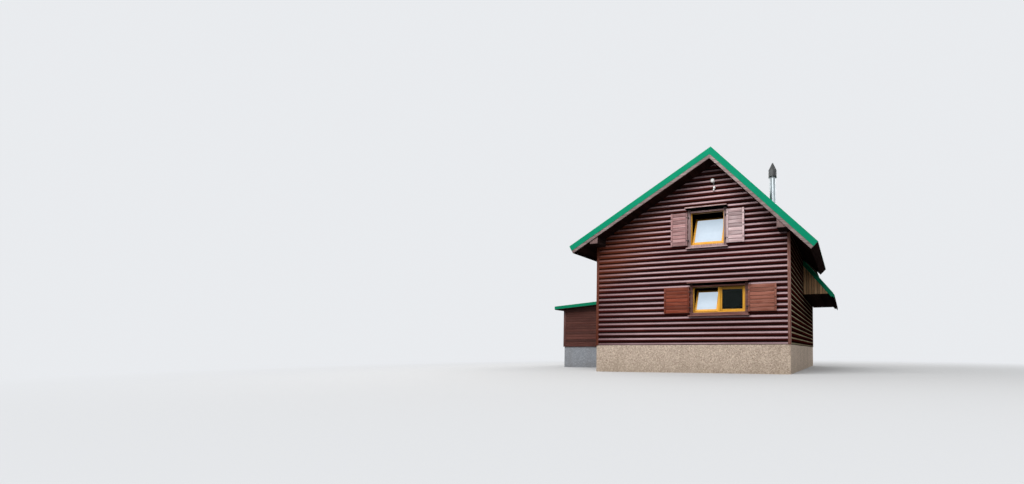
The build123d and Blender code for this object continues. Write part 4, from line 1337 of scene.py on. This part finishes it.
def flat_rib(start, end, y, low):
    """One rib along X, its top narrower than its foot."""
    rib = block("rib", (start, y - RIB_WIDTH / 2, low), (end, y + RIB_WIDTH / 2, low + RIB_HEIGHT))
    with editing(rib, looks_up):
        bpy.ops.transform.resize(value=(1, RIB_TOP_SHARE, 1))
    ease_edges(rib, RIB_EASE, segments=1)
    return set_tone(rib, 0.5)


def lay_on_slope(piece, pitch, top=(RIDGE_X, 0, ridge_z)):
    """Tip a flat piece by the pitch, and move what lay at the origin to the slope's top."""
    turn(piece, math.degrees(pitch), "Y", (0, 0, 0))
    move(piece, top)
    return piece


def rib_rows(side, pitch, eave_of):
    """All ribs of one slope; eave_of gives the eave's run at each y."""
    flue_top = (flashing_low.x - RIDGE_X - ROOF_TOP * math.sin(pitch)) / math.cos(pitch)
    flue_foot = (flashing_high.x - RIDGE_X - ROOF_TOP * math.sin(pitch)) / math.cos(pitch)
    ribs = []
    for i in range(round(2 * LAST_RIB / RIB_PITCH) + 1):
        y = -LAST_RIB + i * RIB_PITCH
        start, end = CAP_WIDTH / math.cos(pitch), eave_of(y) / math.cos(pitch) - RIB_END_GAP
        stretches = [(start, end)]
        if side > 0 and flashing_low.y < y < flashing_high.y:
            stretches = [(start, flue_top - RIB_END_GAP), (flue_foot + RIB_END_GAP, end)]
        ribs += [flat_rib(side * a, side * b, y, ROOF_TOP) for a, b in stretches]
    rows = joined(ribs, "left_roof_ribs" if side < 0 else "right_roof_ribs")
    return lay_on_slope(rows, side * pitch)


hand_over(rib_rows(-1, LEFT_PITCH, lambda y: LEFT_EAVE_RUN), roof_green)
hand_over(
    rib_rows(1, RIGHT_PITCH, lambda y: RIGHT_EAVE_RUN if y < porch_front else SHORT_EAVE_RUN),
    roof_green,
)

# %% [markdown]
# Screws with sealing washers hold the sheet's lower edge. One screw is a washer with a hexagonal
# head, and a copy of it stands in every other bay between the ribs.

# %% Roof screws
SCREW_HEAD, SCREW_WASHER, SCREW_RISE = 0.006, 0.010, 0.007
SCREW_INSET, SCREW_EVERY = 0.055, 2
WASHER_THICK, HEAD_RIM, HEAD_CROWN = 0.002, 0.001, 0.0005


def screw(x, y, z):
    """A washer and a hexagonal head, standing on a flat sheet."""
    washer = add_primitive(
        "cylinder", "washer", vertices=10, radius=SCREW_WASHER, depth=WASHER_THICK,
        location=(x, y, z + WASHER_THICK / 2),
    )
    head = add_primitive(
        "cylinder", "head", vertices=6, radius=SCREW_HEAD, depth=SCREW_RISE,
        location=(x, y, z + SCREW_RISE / 2),
    )
    with editing(head, looks_up):
        bpy.ops.mesh.inset(thickness=HEAD_RIM, depth=HEAD_CROWN)
    return joined([washer, head], "screw")


def screw_row(side, pitch, x, ys, name):
    """Copies of one screw along the roof."""
    first = screw(side * x / math.cos(pitch), ys[0], ROOF_TOP)
    row = joined(copies(first, [(0, y - ys[0], 0) for y in ys[1:]]), name)
    return lay_on_slope(row, side * pitch)


bays = range(0, round(2 * LAST_RIB / RIB_PITCH), SCREW_EVERY)
between_ribs = [-LAST_RIB + (i + 0.5) * RIB_PITCH for i in bays]
front_ribs = [y for y in between_ribs if y < porch_front - RIB_PITCH]
back_ribs = [y for y in between_ribs if y > porch_front]
roof_screws = joined([
    screw_row(-1, LEFT_PITCH, LEFT_EAVE_RUN - SCREW_INSET, between_ribs, "left_screws"),
    screw_row(1, RIGHT_PITCH, RIGHT_EAVE_RUN - SCREW_INSET, front_ribs, "right_screws"),
    screw_row(1, RIGHT_PITCH, SHORT_EAVE_RUN - SCREW_INSET, back_ribs, "short_screws"),
], "roof_screws")
hand_over(roof_screws, zinc_finish)

# %% [markdown]
# The boards round the roof are sawn timber, so their edges are eased. Their shape is already in
# the imported solids: a copy is merged, its flat faces are made whole, and its sharp edges bevelled.
# The eave boards are painted near black, a painted shade. The corner boards on the left have a
# redder stain, darkened as painted shade of the trees, and those on the right have gone pale, so
# the piece carries two finishes and each face picks one by its side. The wall plates are pale on
# their ends alone: the rest of them lies in the shade of the roof and is painted near black as
# painted shade.

# %% Roof boards
CAP_EASE, PLATE_EASE = 0.0015, 0.006


def dress_copy(node, finish, ease=0.004):
    """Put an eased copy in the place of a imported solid."""
    piece = eased_copy(node, ease)
    hand_over(piece, finish, replaces=[node])
    return piece


dress_copy("left_barge_boards", barge_finish)
dress_copy("right_barge_boards", barge_finish)
# The eave boards are painted near black as painted shade.
dress_copy("eave_boards", painted_shade_finish)
dress_copy("ridge_cap", roof_green, CAP_EASE)
house_corners = dress_copy("corner_boards", corner_finish)
# The left corners: a redder stain and painted shade.
second_finish(house_corners, left_corner_finish, lambda centre: centre.x < 0)
dress_copy("annex_corner_boards", trim_finish)

plate_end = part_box("wall_plates")[1].y - PLATE_EASE
plates = dress_copy("wall_plates", plate_finish, PLATE_EASE)
# Painted shade on the plates, on all but their ends.
second_finish(plates, painted_shade_finish, lambda centre: abs(centre.y) < plate_end)

# %% [markdown]
# The porch roof is steep and narrow. Its ends are closed by upright boards that are cut along
# the deck above them, and its underside by level boards with open joints.

# %% Porch boards
CHEEK_BOARD, CHEEK_GAP, CHEEK_THICK, CHEEK_EASE = 0.105, 0.003, 0.025, 0.006
SHORTEST_CHEEK = 0.03
SOFFIT_BOARD, SOFFIT_GAP = 0.102, 0.005
cheek_low, cheek_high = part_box("porch_cheeks")
soffit_low, soffit_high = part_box("porch_soffit")


def porch_cheek(front):
    """Upright boards of one end, cut along the underside of the deck."""
    width = cheek_high.x - cheek_low.x
    rise = cheek_high.z - cheek_low.z
    count = math.ceil(width / CHEEK_BOARD)
    boards = []
    for i in range(count):
        left = cheek_low.x + i * CHEEK_BOARD + CHEEK_GAP / 2
        right = min(left + CHEEK_BOARD - CHEEK_GAP, cheek_high.x)
        tall = cheek_high.z - (left - cheek_low.x) * rise / width
        if tall - cheek_low.z < SHORTEST_CHEEK:
            continue
        # The eased edges along the joints carry painted shade.
        plank = board(
            "cheek", (left, front, cheek_low.z), (right, front + CHEEK_THICK, cheek_high.z),
            CHEEK_EASE, joint_shade_tone=JOINT_SHADE_TONE,
        )
        cut_away(plank, (cheek_low.x, 0, cheek_high.z), (rise, 0, width))
        boards.append(plank)
    return boards


cheeks = joined(
    porch_cheek(cheek_low.y) + porch_cheek(cheek_high.y - CHEEK_THICK), "cheek_boards"
)
hand_over(cheeks, cheek_finish, replaces=["porch_cheeks"])

soffit_count = round((soffit_high.x - soffit_low.x) / SOFFIT_BOARD)
soffit_pitch = (soffit_high.x - soffit_low.x) / soffit_count
first_board = board(
    "soffit_board", (soffit_low.x, soffit_low.y, soffit_low.z),
    (soffit_low.x + soffit_pitch - SOFFIT_GAP, soffit_high.y, soffit_high.z),
)
soffit_boards = copies(first_board, [(i * soffit_pitch, 0, 0) for i in range(1, soffit_count)])
hand_over(
    joined(soffit_boards, "porch_soffit_boards"), soffit_finish,
    replaces=["porch_soffit"],
)
dress_copy("porch_ledger", soffit_finish)

# %% [markdown]
# The porch sheet has the same ribs. Below the fold along each of its ends a strip of sheet covers
# the edge of the deck. It is laid flat like the ribs, tipped to the slope as they are, and sawn
# upright where it meets the wall.

# %% Porch ribs and verges
PORCH_PITCH = math.radians(50.5)
PORCH_RIB_START, PORCH_RIB_END, PORCH_RIB_MARGIN = 0.02, 0.09, 0.16
VERGE_END, VERGE_TOP, VERGE_FOOT = 0.02, 0.086, 0.145
VERGE_THICK, VERGE_INSET, VERGE_EASE = 0.006, 0.001, 0.0015
porch_low, porch_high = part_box("porch_sheet")
porch_top = (half_width, 0, porch_high.z)
porch_run = (porch_high.x - half_width) / math.cos(PORCH_PITCH)


def porch_ribs():
    """Ribs down the porch sheet, which starts at the side wall."""
    count = int((porch_high.y - porch_low.y - PORCH_RIB_MARGIN) / RIB_PITCH)
    first_y = (porch_high.y + porch_low.y) / 2 - count * RIB_PITCH / 2
    ribs = [
        flat_rib(PORCH_RIB_START, porch_run - PORCH_RIB_END, first_y + i * RIB_PITCH, 0)
        for i in range(count + 1)
    ]
    return lay_on_slope(joined(ribs, "porch_ribs"), PORCH_PITCH, porch_top)


def porch_verges():
    """A strip along each end, under the fold that the sheet already has."""
    foot, top = -VERGE_FOOT, -VERGE_TOP
    strips = [
        board("verge", (0, y, foot), (porch_run - VERGE_END, y + VERGE_THICK, top), VERGE_EASE, 0.5)
        for y in (porch_low.y + VERGE_INSET, porch_high.y - VERGE_INSET - VERGE_THICK)
    ]
    verges = lay_on_slope(joined(strips, "porch_verges"), PORCH_PITCH, porch_top)
    cut_away(verges, (half_width, 0, 0), (-1, 0, 0))
    return verges


hand_over(porch_ribs(), painted_shade_green)
hand_over(porch_verges(), painted_shade_green)

# %% [markdown]
# The lean-to at the rear left is clad with level lapped boards. Each board is a little thicker at
# its foot, so it throws a thin shadow on the one below, and its underside carries painted shade.
# The front and back rows are cut along the sloping roof.

# %% Annex boards
ANNEX_PITCH = math.radians(4.2)
LAP_PITCH, LAP_THICK, LAP_TOP = 0.115, 0.019, 0.010
LAP_GAP, LAP_EASE = 0.002, 0.002
SKIRT_HEIGHT, SKIRT_THICK = 0.10, 0.021
ANNEX_CORNER = 0.110
annex_low, annex_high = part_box("annex_walls")
annex_trim_low, annex_trim_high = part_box("annex_corner_boards")
annex_slope = math.tan(ANNEX_PITCH)


def lapped_board(start, end, low):
    """One lapped board along X in front of y = 0, thick at its foot and thin at its top."""
    foot, head = low + LAP_GAP / 2, low + LAP_PITCH - LAP_GAP / 2
    plank = block("lapped", (start, -LAP_THICK, foot), (end, 0, head))
    outer_top = lambda vert: vert.co.y < TOUCH - LAP_THICK and vert.co.z > head - TOUCH
    with editing(plank, outer_top, "verts"):
        bpy.ops.transform.translate(value=(0, LAP_THICK - LAP_TOP, 0))
    ease_edges(plank, LAP_EASE)
    set_tone(plank)
    # Painted shade on the underside of each board.
    tone_faces(plank, JOINT_SHADE_TONE, lambda normal: normal.z < -0.3)
    return plank


def annex_wall(name, start, end, top, roof_cut, degrees, offset):
    """Lapped boards over a skirting board, built along X, cut, turned and moved to their wall."""
    low = annex_low.z + SKIRT_HEIGHT
    rows = [board("skirt", (start, -SKIRT_THICK, annex_low.z), (end, 0, low))]
    while low < top:
        rows.append(lapped_board(start, end, low))
        low += LAP_PITCH
    for row in rows:
        cut_away(row, *roof_cut)
    wall = joined(rows, name)
    turn(wall, degrees, "Z", (0, 0, 0))
    move(wall, offset)
    return wall


inner_left = annex_trim_low.x + ANNEX_CORNER
front_boards = annex_wall(
    "annex_front", inner_left, annex_high.x, annex_high.z,
    ((annex_high.x, 0, annex_high.z), (-annex_slope, 0, 1)), 0, (0, annex_low.y, 0),
)
back_boards = annex_wall(
    "annex_back", -annex_high.x, -inner_left, annex_high.z,
    ((-annex_high.x, 0, annex_high.z), (annex_slope, 0, 1)), 180, (0, annex_high.y, 0),
)
side_low, side_high = annex_trim_low.y + ANNEX_CORNER, annex_trim_high.y - ANNEX_CORNER
side_top = annex_high.z - (annex_high.x - annex_low.x) * annex_slope
side_boards = annex_wall(
    "annex_side", -side_high, -side_low, side_top,
    ((0, 0, side_top - LAP_THICK * annex_slope), UP), -90, (annex_low.x, 0, 0),
)
hand_over(side_boards, annex_side_finish)
hand_over(joined([front_boards, back_boards], "annex_gable_boards"), annex_finish)

# %% [markdown]
# The lean-to has the same ribbed sheet on a slope that is nearly flat. Its ribs are laid level,
# tipped about the wall's line and moved up to the sheet's highest edge.

# %% Annex roof ribs
FIRST_RIB_IN, LAST_RIB_IN = 0.10, 0.05
annex_sheet_low, annex_sheet_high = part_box("annex_sheet")
rib_span = (annex_sheet_high.x - annex_sheet_low.x) / math.cos(ANNEX_PITCH) - 2 * RIB_END_GAP
annex_ribs = []
rib_y = annex_sheet_low.y + FIRST_RIB_IN
while rib_y < annex_sheet_high.y - LAST_RIB_IN:
    annex_ribs.append(flat_rib(-rib_span, -RIB_END_GAP, rib_y, 0))
    rib_y += RIB_PITCH
annex_ribs = joined(annex_ribs, "annex_ribs")
annex_sheet_top = (annex_sheet_high.x, 0, annex_sheet_high.z)
hand_over(lay_on_slope(annex_ribs, -ANNEX_PITCH, annex_sheet_top), painted_shade_green)

# %% [markdown]
# The stove flue is a double pipe of stainless steel. Locking bands hold its lengths together, and
# the cowl has rolled rims. A rim is a torus, and a band is one too, with its upper and lower half
# drawn apart, which leaves a flat back between two round edges.

# %% Flue bands and cowl rims
pipe_low, pipe_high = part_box("flue_pipe")
cowl_low, cowl_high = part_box("flue_cowl")
flue_x, flue_y = (pipe_low.x + pipe_high.x) / 2, (pipe_low.y + pipe_high.y) / 2
flue_radius = (pipe_high.x - pipe_low.x) / 2
cowl_radius = (cowl_high.y - cowl_low.y) / 2
DRUM_HEIGHT = 0.270
BAND_HEIGHT, BAND_RISE, BAND_DROPS = 0.040, 0.007, (0.03, 0.62)
CLAMP_WIDTH, CLAMP_HEIGHT, CLAMP_REACH, CLAMP_SEAT = 0.028, 0.024, 0.020, 0.004
RIM = 0.007


def ring(name, radius, thick, z):
    """A round ring about the flue's axis; radius is that of its middle line."""
    return add_primitive(
        "torus", name, major_radius=radius, minor_radius=thick, major_segments=48,
        minor_segments=10, location=(flue_x, flue_y, z),
    )


def band(z, radius):
    """A locking band round the pipe, with a rounded back and its clamp."""
    strip = ring("band", radius, BAND_RISE, z)
    with editing(strip, lambda vert: vert.co.z > z, "verts"):
        bpy.ops.transform.translate(value=(0, 0, BAND_HEIGHT / 2 - BAND_RISE))
    with editing(strip, lambda vert: vert.co.z < z - 0.0001, "verts"):
        bpy.ops.transform.translate(value=(0, 0, -BAND_HEIGHT / 2 + BAND_RISE))
    clamp = board(
        "clamp", (flue_x - CLAMP_WIDTH / 2, flue_y - radius - CLAMP_REACH, z - CLAMP_HEIGHT / 2),
        (flue_x + CLAMP_WIDTH / 2, flue_y - radius + CLAMP_SEAT, z + CLAMP_HEIGHT / 2),
    )
    return [strip, set_tone(clamp, 0.5)]


bands = [piece for drop in BAND_DROPS for piece in band(cowl_low.z - drop, flue_radius)]
hand_over(joined(bands, "flue_bands"), steel_finish)
rims = [
    ring("rim", cowl_radius - RIM / 2, RIM, z)
    for z in (cowl_low.z + RIM, cowl_low.z + DRUM_HEIGHT)
]
hand_over(joined(rims, "cowl_rims"), cowl_finish)

# %% [markdown]
# High in the gable hangs a round white lamp on a neck, with a small sensor and its box below.
# The lamp is drawn as half of its outline and spun round its own axis.

# %% Gable lamp
lamp_low, lamp_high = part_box("gable_lamp")
lamp_x, lamp_z = (lamp_low.x + lamp_high.x) / 2, (lamp_low.z + lamp_high.z) / 2
lamp_radius = (lamp_high.x - lamp_low.x) / 2
NECK_RADIUS, NECK_LENGTH = 0.040, 0.050
ROSE_RADIUS, ROSE_THICK, ROSE_FOOT = 0.052, 0.010, 0.014
LAMP_STEPS, DOME_STEPS, DOME_FULLNESS = 40, 10, 0.6


def round_lamp():
    """A neck and a round head, spun from their outline about the lamp's axis."""
    wall, front = lamp_high.y, lamp_low.y
    outline = [
        (0, wall), (ROSE_RADIUS, wall), (ROSE_RADIUS, wall - ROSE_THICK),
        (NECK_RADIUS, wall - ROSE_FOOT), (NECK_RADIUS, wall - NECK_LENGTH),
    ]
    dome = wall - NECK_LENGTH - front
    for i in range(1, DOME_STEPS):
        angle = math.pi * i / DOME_STEPS
        outline.append((
            max(NECK_RADIUS * (i < 2), lamp_radius * math.sin(angle) ** DOME_FULLNESS),
            wall - NECK_LENGTH - dome * (1 - math.cos(angle)) / 2,
        ))
    outline.append((0, front))
    mesh = bpy.data.meshes.new("lamp")
    corners = [(lamp_x + reach, y, lamp_z) for reach, y in outline]
    mesh.from_pydata(corners, [(i, i + 1) for i in range(len(corners) - 1)], [])
    lamp = bpy.data.objects.new("round_lamp", mesh)
    bpy.context.scene.collection.objects.link(lamp)
    with editing(lamp):
        bpy.ops.mesh.spin(
            steps=LAMP_STEPS, angle=2 * math.pi, center=(lamp_x, 0, lamp_z), axis=(0, 1, 0)
        )
        bpy.ops.mesh.select_all(action="SELECT")
        bpy.ops.mesh.remove_doubles(threshold=0.0001)
        bpy.ops.mesh.normals_make_consistent(inside=False)
    return set_tone(lamp, 0.5)


hand_over(round_lamp(), white_finish, replaces=["gable_lamp"])

SENSOR_ASIDE, SENSOR_DROP = 0.045, 0.215
sensor_x, sensor_z = lamp_x + SENSOR_ASIDE, lamp_z - SENSOR_DROP


def near_sensor(x, y, z):
    """A point given from the middle of the sensor's box, at the face of the logs."""
    return sensor_x + x, log_face + y, sensor_z + z


sensor_box = board(
    "sensor_box", near_sensor(-0.035, -0.055, -0.035), near_sensor(0.035, 0.012, 0.035), 0.008, 0.5
)
sensor_eye = add_primitive(
    "uv_sphere", "sensor_eye", segments=20, ring_count=12, radius=0.030,
    location=near_sensor(-0.015, -0.038, -0.085),
)
with editing(sensor_eye, lambda vert: vert.co.z > sensor_z - 0.083, "verts"):
    bpy.ops.transform.translate(value=(0, 0, 0.014))
neck = rod(
    "sensor_neck", near_sensor(-0.015, -0.030, -0.06), near_sensor(-0.008, -0.030, -0.03), 0.010
)
sensor = joined([sensor_box, set_tone(sensor_eye, 0.5), neck], "gable_sensor")
hand_over(sensor, white_finish)
conduit = rod(
    "sensor_conduit", near_sensor(-0.035, -0.008, 0.185), near_sensor(-0.005, -0.008, 0.03), 0.008
)
hand_over(conduit, grey_finish)

# %% [markdown]
# The rear door is a plank door: upright tongued boards with a lever handle on a long plate and
# three hinges. The boards are shaped like the shutters' planks, only upright.

# %% Rear door
DOOR_PLANKS, DOOR_CHAMFER, DOOR_GAP, DOOR_STEP = 6, 0.005, 0.0016, 0.06
HANDLE_HEIGHT, HANDLE_INSET = 1.02, 0.075
DOOR_HINGES, DOOR_HINGE_HEIGHT, DOOR_HINGE_RADIUS = (0.18, 0.92, 1.66), 0.10, 0.008
leaf_low, leaf_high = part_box("door_leaf")
plank_width = (leaf_high.x - leaf_low.x) / DOOR_PLANKS
# The eased edges along the joints carry painted shade.
door_boards = [
    board(
        "door_plank", (edge + DOOR_GAP / 2, leaf_low.y, leaf_low.z),
        (edge + plank_width - DOOR_GAP / 2, leaf_high.y, leaf_high.z), DOOR_CHAMFER,
        joint_shade_tone=JOINT_SHADE_TONE,
    )
    for edge in (leaf_low.x + i * plank_width for i in range(DOOR_PLANKS))
]
door_planks = joined(door_boards, "door_planks")
hand_over(door_planks, door_finish, replaces=["door_leaf"])

door_left, door_right = door_low.x - CASING, door_high.x + CASING
door_casing = [
    board("door_casing", (left, core_y, low), (right, core_y + CASING_REACH + step, high))
    for left, right, low, high, step in (
        (door_left, door_low.x, door_low.z, door_high.z, 0),
        (door_high.x, door_right, door_low.z, door_high.z, 0),
        (door_left, door_right, door_high.z, door_high.z + CASING, 0),
        (door_left, door_right, door_low.z - CASING, door_low.z, DOOR_STEP),
    )
]
hand_over(joined(door_casing, "door_casing"), trim_finish)


def near_handle(x, y, z):
    """A point given from the handle's spindle, at the outer face of the door."""
    return leaf_low.x + HANDLE_INSET + x, leaf_high.y + y, leaf_low.z + HANDLE_HEIGHT + z


ironwork = [
    board("handle_plate", near_handle(-0.022, 0, -0.16), near_handle(0.022, 0.006, 0.07), 0.002),
    rod("spindle", near_handle(0, 0, 0), near_handle(0, 0.05, 0), 0.010),
    rod("lever", near_handle(-0.008, 0.045, 0), near_handle(0.12, 0.045, 0), 0.009, 0.004),
    rod("lock", near_handle(0, 0, -0.09), near_handle(0, 0.010, -0.09), 0.012),
]
hinge_at = (leaf_high.x + 0.002, leaf_high.y + DOOR_HINGE_RADIUS)
for level in DOOR_HINGES:
    foot = leaf_low.z + level
    ironwork.append(rod(
        "hinge", (*hinge_at, foot), (*hinge_at, foot + DOOR_HINGE_HEIGHT), DOOR_HINGE_RADIUS
    ))
hand_over(joined(ironwork, "door_ironwork"), iron_finish)

# %% [markdown]
# The shutters show the dark heads of the bolts that go through to the straps behind, and a knob
# halfway up the outer stile. They ride on the shutter, so they turn with it.

# %% Shutter bolts
BOLT_RADIUS, BOLT_RISE = 0.017, 0.008


def bolt(x, z):
    """A round bolt head on the face of an open shutter."""
    face = (x, shutter_face, z)
    return rod("bolt", face, (x, shutter_face - BOLT_RISE, z), BOLT_RADIUS, 0.003, 16)


for storey, hand, opening, away in FRONT_SHUTTERS:
    body = f"{storey}_{hand}_shutter"
    _, near, width, low, high = shutter_place(opening, away)
    inset = HINGE_INSET + EYE_HEIGHT / 2
    heads = [
        bolt(near + away * reach, level)
        for level in (low + inset, high - inset) for reach in (STILE / 2, width - STILE / 2)
    ]
    heads.append(bolt(near + away * (width - STILE / 2), (low + high) / 2))
    hand_over(joined(heads, body + "_bolts"), iron_finish, body)

# %% [markdown]
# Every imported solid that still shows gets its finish. Their meshes stay as they are, so a finish
# reads the piece's own coordinates and nothing has to be unwrapped.

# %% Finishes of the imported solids
def dress(finish, *names):
    """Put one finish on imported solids."""
    for name in names:
        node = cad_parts[name]
        node.data.materials.clear()
        node.data.materials.append(finish)
    print(finish.name, "on", ", ".join(names))


dress(plinth_finish, "plinth")
dress(annex_plinth_finish, "annex_plinth")
dress(slab_finish, "base_slab")
dress(lining_finish, "front_wall", "back_wall", "left_wall", "right_wall", "annex_walls")
dress(floor_boards_finish, "ground_floor", "upper_floor", "annex_floor")
dress(trim_finish, "door_frame")
dress(deck_finish, "left_roof_deck", "right_roof_deck", "porch_roof", "ridge_beam")
dress(annex_deck_finish, "annex_roof")
dress(roof_green, "left_roof_sheet", "right_roof_sheet")
# The shaded sheets get the painted shade green.
dress(painted_shade_green, "porch_sheet", "annex_sheet")
dress(iron_finish, "shutter_pintles")
dress(steel_finish, "flue_pipe")
dress(zinc_finish, "flue_flashing")
dress(cowl_finish, "flue_cowl")
